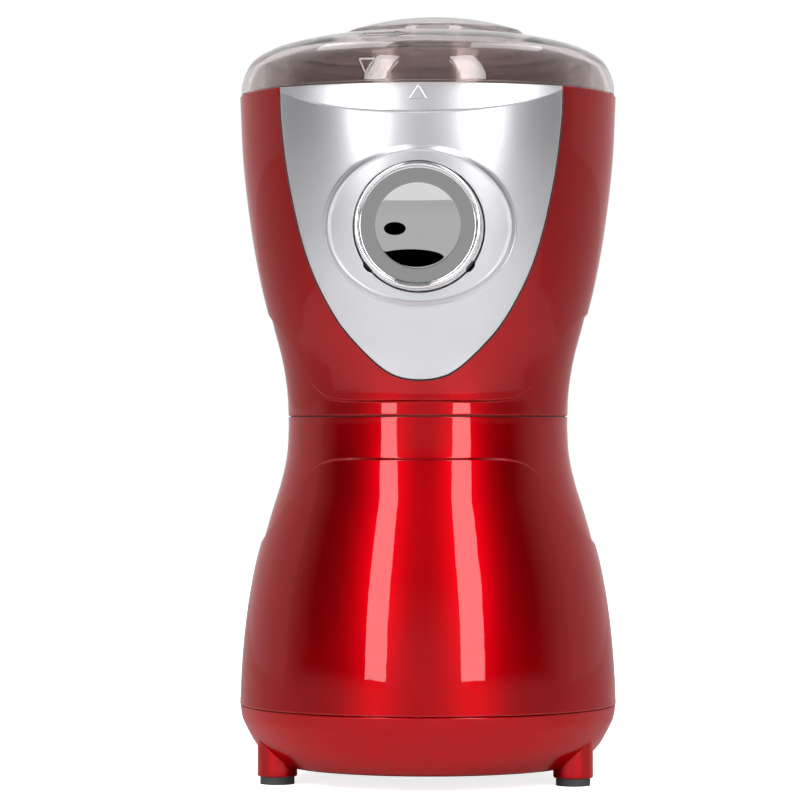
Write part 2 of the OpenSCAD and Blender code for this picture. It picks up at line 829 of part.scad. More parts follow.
module cup_holder() {
    color(grey)
        difference() {
            union() {
                rod(well_r, well_z, cup_rim_z - cup_wall);
                ring(well_r - eps, shell_r(flange_z) - body_wall - touch_gap, flange_z, flange_top_z);
                for (a = [0, 70, 200, 270])
                    sector(well_r - eps, well_r + 2.5, ring_z - moving_gap - support_h, ring_z - moving_gap,
                           a, a + 14);
                around(post_angles, post_ring_r)
                    rod(post_r, post_foot_z, well_z + eps);
                for (side = [-1, 1])
                    translate([side * switch_hole_x, start_switch_y + switch_d / 2, 0])
                        rod(3.2, start_switch_z + switch_t / 2, well_z + eps);
                rotate([0, 0, lock_switch_angle])
                    block(well_r - 2, lock_switch_r, -switch_l / 2, switch_l / 2, lock_switch_top_z - switch_d,
                          lock_switch_top_z);
            }
            rod(well_in_r, well_top_z, cup_rim_z + 1);
            rod(seal_hole_r, well_z - 1, well_top_z + 1);
            around(post_angles, post_ring_r)
                rod(screw_r, post_foot_z - eps, post_foot_z + 8);
            for (side = [-1, 1])
                translate([side * switch_hole_x, start_switch_y + switch_d / 2, 0])
                    rod(screw_r, start_switch_z, start_switch_z + switch_t / 2 + 4.5);
            rotate([0, 0, lock_switch_angle])
                for (side = [-1, 1])
                    translate([well_r + 2, side * switch_hole_x, lock_switch_top_z - switch_d / 2])
                        rotate([0, -90, 0])
                            rod(screw_r, 0, 2.6);
            sector(collar_in_r - moving_gap, collar_r + moving_gap, flange_z - 1, flange_top_z + 1,
                   key_angle - key_half - 1.5, key_angle + lid_turn + key_half + 1.5);
            around(holder_screw_angles, holder_screw_r) {
                rod(screw_r + 0.1, flange_z - 1, flange_top_z + 1);
                translate([0, 0, flange_top_z - screw_head_h])
                    cylinder(r1 = screw_r + 0.1, r2 = screw_head_r - 0.4, h = screw_head_h + eps);
            }
        }
}

module holder_screws() {
    color(steel)
        around(holder_screw_angles, holder_screw_r)
            union() {
                rod(screw_r, flange_z - 7, flange_top_z - screw_head_h + eps);
                translate([0, 0, flange_top_z - screw_head_h])
                    cylinder(r1 = screw_r, r2 = screw_head_r - 0.5, h = screw_head_h - 0.1);
            }
}

// ---------------------------------------------------------------- cup, seals and blade
rim_flange_r = well_r + 0.5;
hub_r = 6.5;
cup_hole_r = 5.2;
blade_z = cup_floor_z + 7;
blade_flat = 11;

module cup_form(r, floor_z, corner) {
    rotate_extrude()
        polygon(concat([[0, cup_rim_z + 1], [0, floor_z], [r - corner, floor_z]],
                       [for (a = [-75:15:0])
                           [r - corner + corner * cos(a), floor_z + corner + corner * sin(a)]],
                       [[r, cup_rim_z + 1]]));
}

module grinding_cup() {
    color("silver")
        difference() {
            union() {
                intersection() {
                    cup_form(cup_r + cup_wall, cup_floor_z - cup_wall, cup_corner_r + cup_wall);
                    rod(big, 0, cup_rim_z);
                }
                rod(rim_flange_r, cup_rim_z - cup_wall, cup_rim_z);
            }
            cup_form(cup_r, cup_floor_z, cup_corner_r);
            rod(cup_hole_r, cup_floor_z - 2, cup_floor_z + 1);
        }
}

cup_seal_r = cup_r - 11;
cup_seal_w = 4;

module cup_seal() {
    color(dark)
        ring(cup_seal_r, cup_seal_r + cup_seal_w, well_top_z, cup_floor_z - cup_wall);
}

module shaft_seal() {
    color(dark)
        difference() {
            union() {
                rod(seal_hole_r, well_z, well_top_z);
                rod(seal_hole_r + 1.5, well_top_z, cup_floor_z - cup_wall);
                rod(cup_hole_r, well_top_z, cup_floor_z + 1.5);
            }
            rod(shaft_r + run_fit, well_z - 1, cup_floor_z + 3);
        }
}

module blade() {
    arm = blade_reach - blade_flat;
    tip = [cos(blade_tilt), sin(blade_tilt)];
    side = [-tip[1], tip[0]] * blade_t;
    lower = [[blade_flat, 0], [blade_flat, 0] + arm * tip];
    upper = [lower[1] + side, [blade_flat - blade_t * tan(blade_tilt / 2), blade_t]];
    half_w = blade_w / 2;
    color(steel)
        translate([0, 0, blade_z])
            difference() {
                intersection() {
                    front_prism([lower[0], lower[1], upper[0], upper[1], -lower[0] + [0, blade_t],
                                 -lower[1] + [0, blade_t], -upper[0] + [0, blade_t], -upper[1] + [0, blade_t]],
                                -blade_w, blade_w);
                    translate([0, 0, -blade_reach])
                        linear_extrude(2 * blade_reach)
                            polygon([for (turn = [-1, 1], p = [[-blade_flat, -half_w], [blade_flat, -half_w],
                                     [blade_reach - 5, -half_w + 2], [blade_reach - 1, -half_w + 5]]) turn * p]);
                }
                rod(shaft_r, -1, blade_t + 1);
            }
}

hub_top_z = blade_z + blade_t + 3.4;

module blade_spacer() {
    color(dark)
        ring(shaft_r, hub_r - 1.5, cup_floor_z + 2, blade_z);
}

module blade_nut() {
    color(dark)
        difference() {
            union() {
                rod(hub_r, blade_z + blade_t, hub_top_z - 1);
                translate([0, 0, hub_top_z - 1])
                    cylinder(r1 = hub_r, r2 = hub_r - 1, h = 1);
            }
            rod(shaft_r, 0, hub_top_z - 1.2);
        }
}

// ---------------------------------------------------------------- motor
stack_top_z = bracket_top_z - bracket_t - 5.2;
stack_z = stack_top_z - stack_h;
coil_out = 4;
low_bracket_top_z = stack_z - 22;
shaft_foot_z = low_bracket_top_z - bracket_t - 14;
stator_screw_angles = [45, 225];
stator_screw_ring_r = 28.3;
stator_screw_r = 1.5;
screw_end_t = 2;
commutator_h = 9;
commutator_z = low_bracket_top_z + 5;

module motor_shaft() {
    color(steel)
        rod(shaft_r, shaft_foot_z, hub_top_z - 1.3);
}

slot_count = 10;
slot_depth = 6;
rotor_slot_w = 2.6;

module rotor_slots(grow) {
    for (k = [0:slot_count - 1])
        rotate([0, 0, 360 * k / slot_count])
            block(rotor_r - slot_depth, rotor_r + 1, -rotor_slot_w / 2 - grow, rotor_slot_w / 2 + grow,
                  stack_z - 1, stack_top_z + 1);
}

module rotor_core() {
    color(grey)
        difference() {
            rod(rotor_r, stack_z, stack_top_z);
            rod(shaft_r, stack_z - 1, stack_top_z + 1);
            rotor_slots(0);
        }
}

module armature_windings() {
    color(copper)
        difference() {
            union() {
                rod(rotor_r - 1, stack_z - coil_out, stack_z);
                rod(rotor_r - 1, stack_top_z, stack_top_z + coil_out);
                intersection() {
                    rod(rotor_r - 1, stack_z - 1, stack_top_z + 1);
                    rotor_slots(0);
                }
            }
            rod(shaft_r, stack_z - 10, stack_top_z + 10);
        }
}

module commutator() {
    color(copper)
        difference() {
            union() {
                rod(commutator_r, commutator_z, commutator_z + commutator_h);
                rod(commutator_r + 1.5, commutator_z + commutator_h - eps, commutator_z + commutator_h + 1.5);
            }
            rod(shaft_r, commutator_z - 1, commutator_z + 20);
            for (k = [0:11])
                rotate([0, 0, 30 * k])
                    block(commutator_r - 1, commutator_r + 3, -0.3, 0.3, commutator_z - 1, commutator_z + 20);
        }
}

module thrust_washers() {
    color(natural) {
        ring(shaft_r, shaft_r + 3, stack_top_z + coil_out, stack_top_z + coil_out + 0.8);
        ring(shaft_r, shaft_r + 3, commutator_z - 1.5, commutator_z - eps);
    }
}

module cooling_fan() {
    top = low_bracket_top_z - bracket_t - 3;
    color(natural)
        difference() {
            union() {
                rod(6, top - 9, top);
                rod(fan_r, top - 1.6, top);
                for (k = [0:fan_blades - 1])
                    rotate([0, 0, 360 * k / fan_blades])
                        block(5, fan_r - 1, -0.8, 0.8, top - 8, top - 1);
            }
            rod(shaft_r, top - 10, top + 1);
        }
}

coil_gap = 2.5;
coil_out_r = 24;
coil_start = 22;
coil_side = 18;
pole_gap = 28;

module field_coils() {
    color(copper)
        for (turn = [0, 180])
            difference() {
                sector(rotor_r + coil_gap, coil_out_r, stack_z - coil_out, stack_top_z + coil_out,
                       turn + coil_start, turn + 180 - coil_start);
                sector(rotor_r, stator_r, stack_z, stack_top_z, turn + coil_start + coil_side,
                       turn + 180 - coil_start - coil_side);
            }
}

module stator_core() {
    color(grey)
        difference() {
            intersection() {
                block(-stator_w / 2, stator_w / 2, -stator_w / 2, stator_w / 2, stack_z, stack_top_z);
                rod(stator_r, stack_z, stack_top_z);
            }
            rod(rotor_r + air_gap, stack_z - 1, stack_top_z + 1);
            for (a = [0, 180])
                rotate([0, 0, a]) {
                    for (start = [coil_start, 180 - coil_start - coil_side])
                        sector(rotor_r + coil_gap, coil_out_r, stack_z - 1, stack_top_z + 1, start,
                               start + coil_side);
                    sector(rotor_r, rotor_r + 3, stack_z - 1, stack_top_z + 1, -pole_gap, pole_gap);
                }
            around(stator_screw_angles, stator_screw_ring_r)
                rod(stator_screw_r + 0.1, stack_z - 1, stack_top_z + 1);
        }
}

bush_r = 6.5;
bush_flange_t = 2;

module bracket_plate(z0, z1) {
    difference() {
        rod(stator_r, z0, z1);
        rod(bush_r, z0 - 1, z1 + 1);
        for (a = [0, 180])
            sector(12, 23, z0 - 1, z1 + 1, a - 35, a + 35);
        around(stator_screw_angles, stator_screw_ring_r)
            rod(stator_screw_r + 0.1, z0 - 1, z1 + 1);
    }
}

module spacer_tubes(z0, z1) {
    difference() {
        intersection() {
            around(stator_screw_angles, stator_screw_ring_r)
                rod(stator_screw_r + 2.1, z0, z1);
            rod(stator_r, z0, z1);
        }
        around(stator_screw_angles, stator_screw_ring_r)
            rod(stator_screw_r + 0.1, z0 - 1, z1 + 1);
    }
}

module top_bracket() {
    color(steel)
        union() {
            difference() {
                bracket_plate(bracket_top_z - bracket_t, bracket_top_z);
                around(post_angles, post_ring_r)
                    rod(screw_r + 0.2, bracket_top_z - bracket_t - 1, bracket_top_z + 1);
            }
            spacer_tubes(stack_top_z, bracket_top_z - bracket_t + eps);
        }
}

module bottom_bracket() {
    color(steel)
        union() {
            bracket_plate(low_bracket_top_z - bracket_t, low_bracket_top_z);
            spacer_tubes(low_bracket_top_z - eps, stack_z);
        }
}

module shaft_bushes() {
    color(copper) {
        difference() {
            union() {
                rod(bush_r, bracket_top_z - bracket_t, bracket_top_z);
                rod(bush_r + 1.5, bracket_top_z, bracket_top_z + bush_flange_t);
            }
            rod(shaft_r + run_fit, bracket_top_z - 10, bracket_top_z + 5);
        }
        difference() {
            union() {
                rod(bush_r, low_bracket_top_z - bracket_t, low_bracket_top_z);
                rod(bush_r + 1.5, low_bracket_top_z, low_bracket_top_z + bush_flange_t);
            }
            rod(shaft_r + run_fit, low_bracket_top_z - 10, low_bracket_top_z + 5);
        }
    }
}

brush_w = 5;
brush_gap = 0.05;
brush_h = 6;
brush_z = commutator_z + 1.5;
holder_t = 0.8;
brush_in_r = commutator_r + 2 * brush_gap;
holder_in_r = commutator_r + 1.8;
holder_out_r = 27;
holder_foot = 3;
brush_len = holder_in_r + 7 - brush_in_r;

module brush_holders() {
    color("goldenrod")
        for (side = [0, 180])
            rotate([0, 0, side])
                union() {
                    difference() {
                        block(holder_in_r, holder_out_r, -brush_w / 2 - holder_t, brush_w / 2 + holder_t,
                              brush_z - holder_t, brush_z + brush_h + holder_t);
                        block(holder_in_r - 1, holder_out_r - holder_t, -brush_w / 2, brush_w / 2,
                              brush_z, brush_z + brush_h);
                    }
                    block(holder_out_r - holder_foot, holder_out_r, -brush_w / 2, brush_w / 2, low_bracket_top_z,
                          brush_z - holder_t + eps);
                }
}

module carbon_brushes() {
    color(dark)
        for (side = [0, 180])
            rotate([0, 0, side])
                intersection() {
                    block(0, brush_in_r + brush_len, -brush_w / 2 + brush_gap, brush_w / 2 - brush_gap, brush_z,
                          brush_z + brush_h - 2 * brush_gap);
                    ring(brush_in_r, big, 0, big);
                }
}

module brush_springs() {
    spring_len = holder_out_r - holder_t - brush_in_r - brush_len;
    color(steel)
        for (side = [0, 180])
            rotate([0, 0, side])
                translate([brush_in_r + brush_len, 0, brush_z + brush_h / 2])
                    rotate([0, 90, 0])
                        coil_spring(1.8, 0.25, 4, 0.02, spring_len - 0.02);
}

module motor_dampers() {
    color(dark)
        around(post_angles, post_ring_r)
            difference() {
                rod(post_r, bracket_top_z, post_foot_z);
                rod(screw_r, bracket_top_z - 1, post_foot_z + 1);
            }
}

module motor_screws() {
    color(steel)
        around(post_angles, post_ring_r)
            union() {
                rod(screw_r, bracket_top_z - bracket_t - eps, post_foot_z + 7);
                rod(screw_head_r, bracket_top_z - bracket_t - screw_head_h, bracket_top_z - bracket_t);
            }
}

module stator_screws() {
    head_z = low_bracket_top_z - bracket_t;
    color(steel)
        around(stator_screw_angles, stator_screw_ring_r)
            union() {
                rod(stator_screw_r, head_z - eps, bracket_top_z + 0.5);
                rod(screw_head_r - 0.2, head_z - screw_end_t, head_z);
                rod(screw_head_r - 0.2, bracket_top_z, bracket_top_z + screw_end_t);
            }
}

// ---------------------------------------------------------------- electrics
grommet_flange_r = 6.8;
grommet_flange_t = 1.2;

module cord_grommet() {
    wall_y = shell_r(grommet_z);
    color(dark)
        translate([0, 0, grommet_z])
            rotate([-90, 0, 0])
                difference() {
                    union() {
                        rod(grommet_hole_r - 0.05, wall_y - body_wall - 2.6, wall_y - 0.6);
                        rod(grommet_flange_r, wall_y - body_wall - 2.6, wall_y - body_wall - 0.9);
                        rod(grommet_hole_r - 0.05, wall_y - 1, wall_y + 0.5);
                    }
                    rod(grommet_bore_r, wall_y - 20, wall_y + 10);
                }
}

block_w = 24;
block_d = 10;
block_h = 9;
block_y = 14;

module terminal_block() {
    floor_z = foot_h + base_wall;
    color(natural)
        difference() {
            block(-block_w / 2, block_w / 2, block_y, block_y + block_d, floor_z, floor_z + block_h);
            for (x = [-8, 0, 8]) {
                translate([x, block_y - 1, floor_z + block_h / 2])
                    rotate([-90, 0, 0])
                        cylinder(r = 1.6, h = block_d + 2);
                translate([x, block_y + block_d / 2, floor_z + block_h / 2])
                    cylinder(r = 1.8, h = block_h);
            }
        }
}

module suppression_capacitor() {
    floor_z = foot_h + base_wall;
    color("gold")
        block(-9, 9, -18, -10, floor_z, floor_z + 12);
}

wire_r = 0.9;

// Insulated lead swept through a few points as one polyhedron
module lead(points, r) {
    last = len(points) - 1;
    along = [for (i = [0:last]) let(d = points[min(i + 1, last)] - points[max(i - 1, 0)]) d / norm(d)];
    rings = [for (i = [0:last], k = [0:wire_sides - 1])
        let(side = cross(along[i], [0, 1, 0.01]), u = side / norm(side), v = cross(u, along[i]),
            a = 360 * k / wire_sides)
        points[i] + r * (cos(a) * u + sin(a) * v)];
    walls = [for (i = [0:last - 1], k = [0:wire_sides - 1])
        let(n = (k + 1) % wire_sides)
        [i * wire_sides + k, i * wire_sides + n, (i + 1) * wire_sides + n, (i + 1) * wire_sides + k]];
    first = [for (k = [wire_sides - 1:-1:0]) k];
    end = [for (k = [0:wire_sides - 1]) last * wire_sides + k];
    polyhedron(rings, concat(walls, [first, end]), convexity = 4);
}

// Route of one brush lead: from the terminal block, up the wall, to the brush holder.
// Each height is a share of the climb.
lead_points = [[10, 24.5, 0], [15, 27.7, 0.08], [24, 25.7, 0.24], [32, 17.7, 0.48], [34, 9.7, 0.73],
               [34, 2.7, 0.91], [30, 0.7, 0.99], [27.05, 0.7, 1]];
lead_foot_z = foot_h + 6;
lead_top_z = brush_z + brush_h / 2;

module lead_wires() {
    color("royalblue")
        for (side = [-1, 1])
            lead([for (p = lead_points)
                [side * p[0], p[1], lead_foot_z + p[2] * (lead_top_z - lead_foot_z)]], wire_r);
}

// ---------------------------------------------------------------- lid
module lid_shell(inset) {
    line = [for (p = curve(lid_edge, 2)) [body_r - p[0] - inset, lid_seam_z + lid_gap + p[1] / lid_edge[7][1]
        * (lid_shoulder_h - lid_gap) - (p[1] > 3 ? inset : 0)]];
    top = line[len(line) - 1][1];
    rotate_extrude()
        polygon(concat([[0, lid_seam_z + lid_gap - (inset > 0 ? 1 : 0)],
                        [line[0][0], lid_seam_z + lid_gap - (inset > 0 ? 1 : 0)]],
                       [for (i = [inset > 0 ? 2 : 1:len(line) - 1]) line[i]], [[0, top]]));
}

module dome(inset) {
    translate([dome_side, dome_back, 0])
        intersection() {
            translate([0, 0, lid_seam_z + lid_h - dome_sphere_r])
                sphere(r = dome_sphere_r - inset);
            rod(dome_rim_r - inset, lid_seam_z + lid_shoulder_h - 3 - inset, lid_seam_z + lid_h + 1);
        }
}

seal_ring_r = cup_r + 2.2;
seal_ring_wall = 1.8;
gasket_t = 1.6;
gasket_z = cup_rim_z + touch_gap;

module lid() {
    color(smoke)
        difference() {
            union() {
                difference() {
                    union() {
                        lid_shell(0);
                        dome(0);
                    }
                    lid_shell(lid_wall);
                    dome(lid_wall);
                }
                intersection() {
                    union() {
                        difference() {
                            ring(collar_in_r, collar_r, key_foot_z, big);
                            sector(collar_in_r - 1, collar_r + 1, key_foot_z - 1, lid_foot_z,
                                   key_angle + key_half, key_angle - key_half + 360);
                        }
                        ring(seal_ring_r, seal_ring_r + seal_ring_wall, gasket_z + gasket_t, big);
                        for (a = lug_angles)
                            sector(collar_r - collar_wall / 2, collar_r + lug_reach, lid_foot_z,
                                   lid_foot_z + lug_h, a - lug_half, a + lug_half);
                    }
                    union() {
                        lid_shell(lid_wall / 2);
                        rod(collar_r + lug_reach + 1, 0, lid_seam_z + lid_gap);
                    }
                }
            }
        }
}

module lid_gasket() {
    color(dark)
        ring(seal_ring_r - 0.6, seal_ring_r + seal_ring_wall + 0.6, gasket_z, gasket_z + gasket_t);
}

upper_housing();
lower_housing();
base_cover();
foot_pads();
case_screws();
front_panel();
panel_screws();
button_guide();
start_button();
button_carrier();
button_springs();
start_switch();
start_plunger();
switch_screws();
lid();
lid_gasket();
interlock_ring();
interlock_switch();
interlock_plunger();
cup_holder();
holder_screws();
grinding_cup();
cup_seal();
shaft_seal();
blade();
blade_spacer();
blade_nut();
motor_shaft();
rotor_core();
armature_windings();
commutator();
thrust_washers();
cooling_fan();
stator_core();
field_coils();
top_bracket();
bottom_bracket();
shaft_bushes();
brush_holders();
carbon_brushes();
brush_springs();
motor_dampers();
motor_screws();
stator_screws();
cord_grommet();
terminal_block();
suppression_capacitor();
lead_wires();
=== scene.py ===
"""Looks of an electric spice grinder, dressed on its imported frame.

Sizes are in millimetres until a mesh is made.
"""

import bisect
import logging
import math
from dataclasses import dataclass, replace
from enum import Enum
from typing import Callable, Sequence

import bmesh
import bpy
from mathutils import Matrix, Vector

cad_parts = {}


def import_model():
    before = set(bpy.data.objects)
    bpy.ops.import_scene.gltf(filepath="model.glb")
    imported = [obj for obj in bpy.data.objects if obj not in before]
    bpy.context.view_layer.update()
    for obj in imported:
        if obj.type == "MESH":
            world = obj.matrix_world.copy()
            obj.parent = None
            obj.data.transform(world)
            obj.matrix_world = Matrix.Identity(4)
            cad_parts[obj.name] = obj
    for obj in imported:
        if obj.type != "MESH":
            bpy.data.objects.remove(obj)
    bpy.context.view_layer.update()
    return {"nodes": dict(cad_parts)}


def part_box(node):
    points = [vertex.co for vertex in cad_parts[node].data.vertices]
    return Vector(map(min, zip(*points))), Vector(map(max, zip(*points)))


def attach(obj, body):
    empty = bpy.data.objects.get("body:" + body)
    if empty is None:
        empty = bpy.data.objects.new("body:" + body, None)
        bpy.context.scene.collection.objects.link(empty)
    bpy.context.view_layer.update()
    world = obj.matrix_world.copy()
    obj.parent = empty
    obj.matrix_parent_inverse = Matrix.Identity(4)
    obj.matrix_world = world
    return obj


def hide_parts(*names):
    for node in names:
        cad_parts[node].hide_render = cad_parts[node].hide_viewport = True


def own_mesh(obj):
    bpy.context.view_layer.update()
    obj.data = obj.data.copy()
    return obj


LOG = logging.getLogger("spice_grinder")
MM = 0.001
WHITE = (1.0, 1.0, 1.0, 1.0)
SHARP = 38.0
MERGE_DISTANCE = 2e-6
SPECK = 1e-6
CLEAR = 0.1
ON_AXIS = 0.01
SEARCH_STEPS = 40
EDGE_STEPS = 4

Pair = tuple[float, float]
Point = tuple[float, float, float]
Colour = tuple[float, float, float]


# ---- curves


def spread(a: float, b: float, count: int) -> list[float]:
    """Gives count + 1 even values from a to b."""
    return [a + (b - a) * k / count for k in range(count + 1)]


def full_turn(count: int) -> list[float]:
    """Gives count even angles round a circle, in radians."""
    return spread(0, 2 * math.pi, count)[:-1]


def from_front(r: float, angle: float, z: float) -> Point:
    """Gives the point at a radius, an angle from the front in radians, and a height."""
    return (r * math.sin(angle), -r * math.cos(angle), z)


def from_right(r: float, angle: float, z: float) -> Point:
    """Gives the point at a radius, an angle from the right in radians, and a height."""
    return (r * math.cos(angle), r * math.sin(angle), z)


def neighbours(line: Sequence[Pair], index: int) -> tuple[Pair, Pair]:
    """Gives the points before and after one of a line, or the point itself at an end."""
    return line[max(index - 1, 0)], line[min(index + 1, len(line) - 1)]


def shift(line: Sequence[Pair], by: float) -> list[Pair]:
    """Moves a line sideways.

    Args:
        line: The line's points.
        by: How far they move, to the left of the line's own direction.

    Returns:
        The moved points.
    """
    moved = []
    for index, (x, y) in enumerate(line):
        a, b = neighbours(line, index)
        size = math.dist(a, b)
        moved.append((x - by * (b[1] - a[1]) / size, y + by * (b[0] - a[0]) / size))
    return moved


def smooth_curve(points: Sequence[Pair], pieces: int) -> list[Pair]:
    """Draws a smooth curve through a few points.

    Args:
        points: The points that the curve passes.
        pieces: How many stretches lie between two neighbours.

    Returns:
        The curve's points, first and last included.
    """
    knots = [Vector(p) for p in points]
    last = len(knots) - 1

    def lean(index: int, own: float) -> Vector:
        """Gives the curve's direction at a knot, scaled to a span of length own."""
        if index in (0, last):
            return knots[min(index + 1, last)] - knots[max(index - 1, 0)]
        reach = (knots[index] - knots[index - 1]).length + (knots[index + 1] - knots[index]).length
        return (knots[index + 1] - knots[index - 1]) * (own / reach)

    line = []
    for i in range(last):
        a, b = knots[i], knots[i + 1]
        own = (b - a).length
        ta, tb = lean(i, own), lean(i + 1, own)
        for k in range(pieces):
            t = k / pieces
            p = (a * (2 * t**3 - 3 * t**2 + 1) + ta * (t**3 - 2 * t**2 + t)
                 + b * (3 * t**2 - 2 * t**3) + tb * (t**3 - t**2))
            line.append((p.x, p.y))
    return line + [tuple(knots[last])]


def look_up(x: float, table: Sequence[Pair]) -> float:
    """Reads a table at x, with straight stretches between its points.

    Args:
        x: Where the table is read.
        table: The pairs, by rising first value.

    Returns:
        The second value at x.
    """
    at = min(max(bisect.bisect_left(table, (x,)), 1), len(table) - 1)
    (x0, y0), (x1, y1) = table[at - 1], table[at]
    share = min(max((x - x0) / (x1 - x0), 0.0), 1.0)
    return y0 + (y1 - y0) * share


def solve(f: Callable[[float], float], low: float, high: float) -> float:
    """Finds where a function changes sign.

    Args:
        f: The function.
        low: A value on one side of the change.
        high: A value on its other side.

    Returns:
        The value where it changes.
    """
    rising = f(high) > 0
    for _ in range(SEARCH_STEPS):
        middle = (low + high) / 2
        if (f(middle) > 0) == rising:
            high = middle
        else:
            low = middle
    return (low + high) / 2


def even_points(line: Sequence[Pair], count: int) -> list[Pair]:
    """Places points at even distances along a line.

    Args:
        line: The line's own points.
        count: How many stretches the new points make.

    Returns:
        The new points, first and last included.
    """
    reach = [0.0]
    for a, b in zip(line, line[1:]):
        reach.append(reach[-1] + math.dist(a, b))
    tables = [list(zip(reach, (p[axis] for p in line))) for axis in (0, 1)]
    return [(look_up(d, tables[0]), look_up(d, tables[1])) for d in spread(0, reach[-1], count)]


def quarter(radius: float) -> list[Pair]:
    """Rounds an edge: pairs of distance from the edge along the face, and depth below the face."""
    turns = spread(0, math.pi / 2, EDGE_STEPS)
    return [(radius * (1 - math.sin(a)), radius * (1 - math.cos(a))) for a in turns]


def ease(t: float) -> float:
    """Rises smoothly from 0 to 1."""
    t = min(max(t, 0.0), 1.0)
    return t * t * (3 - 2 * t)


# ---- meshes


class Quilt:
    """Collects grids of points and sews them into one mesh."""

    def __init__(self) -> None:
        """Starts with no points."""
        self.points: list[Point] = []
        self.faces: list[tuple[int, ...]] = []

    def grid(self, rows: Sequence[Sequence[Point]], closed: bool = False) -> None:
        """Adds a grid of faces.

        Args:
            rows: Rows of points, each with the same number of points.
            closed: Whether each row joins its own start.
        """
        start = len(self.points)
        wide = len(rows[0])
        for row in rows:
            self.points.extend(row)
        for i in range(len(rows) - 1):
            for j in range(wide if closed else wide - 1):
                k = (j + 1) % wide
                low, high = start + i * wide, start + (i + 1) * wide
                self.faces.append((low + j, low + k, high + k, high + j))

    def columns(self, columns: Sequence[Sequence[Point]], closed: bool = False) -> None:
        """Adds a grid that is given by its columns; closed tells whether the last joins the first."""
        self.grid([list(row) for row in zip(*columns)], closed)

    def spin(self, profile: Sequence[Pair], steps: int, centre: Pair = (0.0, 0.0),
             closed: bool = False) -> None:
        """Turns a profile round an upright line.

        Args:
            profile: The profile's points, as pairs of radius and height.
            steps: How many columns go round.
            centre: Where the line stands.
            closed: Whether the profile joins its own start.
        """
        turn = [(math.sin(a), -math.cos(a)) for a in full_turn(steps)]
        rows = [[(centre[0] + r * s, centre[1] + r * c, z) for s, c in turn] for r, z in profile]
        self.grid(rows + rows[:1] if closed else rows, closed=True)

    def block(self, radii: Pair, heights: Pair, angles: Pair, steps: int) -> None:
        """Adds a curved block round the upright axis.

        Args:
            radii: Its inner and outer radius.
            heights: Its lower and upper height.
            angles: Its two ends, in degrees from the right.
            steps: How many stretches it has.
        """
        (r0, r1), (z0, z1) = radii, heights
        section = [(r0, z0), (r1, z0), (r1, z1), (r0, z1)]
        turns = [math.radians(a) for a in spread(*angles, steps)]
        rows = [[from_right(r, a, z) for r, z in section] for a in turns]
        self.grid(rows, closed=True)
        for row in (rows[0], rows[-1]):
            self.grid([row[:2], [row[3], row[2]]])

    def sew(self, name: str, sharp: float = SHARP) -> bpy.types.Object:
        """Makes the object, in metres.

        Args:
            name: The object's name.
            sharp: Edges that bend by more degrees than this stay crisp.

        Returns:
            The new object, linked to the scene.
        """
        mesh = bpy.data.meshes.new(name)
        mesh.from_pydata([tuple(c * MM for c in p) for p in self.points], [], self.faces)
        work = bmesh.new()
        work.from_mesh(mesh)
        bmesh.ops.remove_doubles(work, verts=work.verts, dist=MERGE_DISTANCE)
        bmesh.ops.dissolve_degenerate(work, edges=work.edges, dist=SPECK)
        bmesh.ops.recalc_face_normals(work, faces=work.faces)
        work.to_mesh(mesh)
        work.free()
        mesh.polygons.foreach_set("use_smooth", [True] * len(mesh.polygons))
        mesh.set_sharp_from_angle(angle=math.radians(sharp))
        piece = bpy.data.objects.new(name, mesh)
        bpy.context.scene.collection.objects.link(piece)
        return piece


def carve(piece: bpy.types.Object, cutter: bpy.types.Object) -> None:
    """Cuts one mesh with another and removes the cutter.

    Args:
        piece: The object that is cut.
        cutter: The object that is taken away from it.
    """
    cut = piece.modifiers.new("cut", "BOOLEAN")
    cut.object = cutter
    cut.solver = "EXACT"
    graph = bpy.context.evaluated_depsgraph_get()
    mesh = bpy.data.meshes.new_from_object(piece.evaluated_get(graph))
    piece.modifiers.clear()
    old = piece.data
    piece.data = mesh
    bpy.data.meshes.remove(old)
    bpy.data.objects.remove(cutter)
    mesh.set_sharp_from_angle(angle=math.radians(SHARP))


def engrave(sheet: Quilt, drawing: Sequence[Pair], place: Callable[[float, float], Point], width: float,
            rise: float) -> None:
    """Adds a fine closed outline that stands a little proud of a surface.

    Args:
        sheet: The quilt that takes the outline.
        drawing: The outline's corners.
        place: Gives the point on the surface for a point of the drawing.
        width: The line's width.
        rise: The line's height.
    """
    section = ((1, -1.0), (1, 0.2), (0, 0.5), (-1, 0.2), (-1, -1.0))
    for a, b in zip(drawing, [*drawing[1:], drawing[0]]):
        ahead = Vector((b[0] - a[0], b[1] - a[1]))
        side = Vector((-ahead.y, ahead.x)).normalized() * (width / 2)
        rows = []
        for t in spread(0, 1, 10):
            x, y = a[0] + ahead.x * t, a[1] + ahead.y * t
            spots = [Vector(place(x + side.x * k, y + side.y * k)) for k in (0, 1, -1)]
            along = Vector(place(x + ahead.x * 0.01, y + ahead.y * 0.01)) - spots[0]
            up = (spots[1] - spots[2]).cross(along).normalized() * rise
            if up.dot(Vector((spots[0].x, spots[0].y, 1.0))) < 0:
                up = -up
            rows.append([tuple(spots[k] + up * share) for k, share in section])
        sheet.grid(rows)


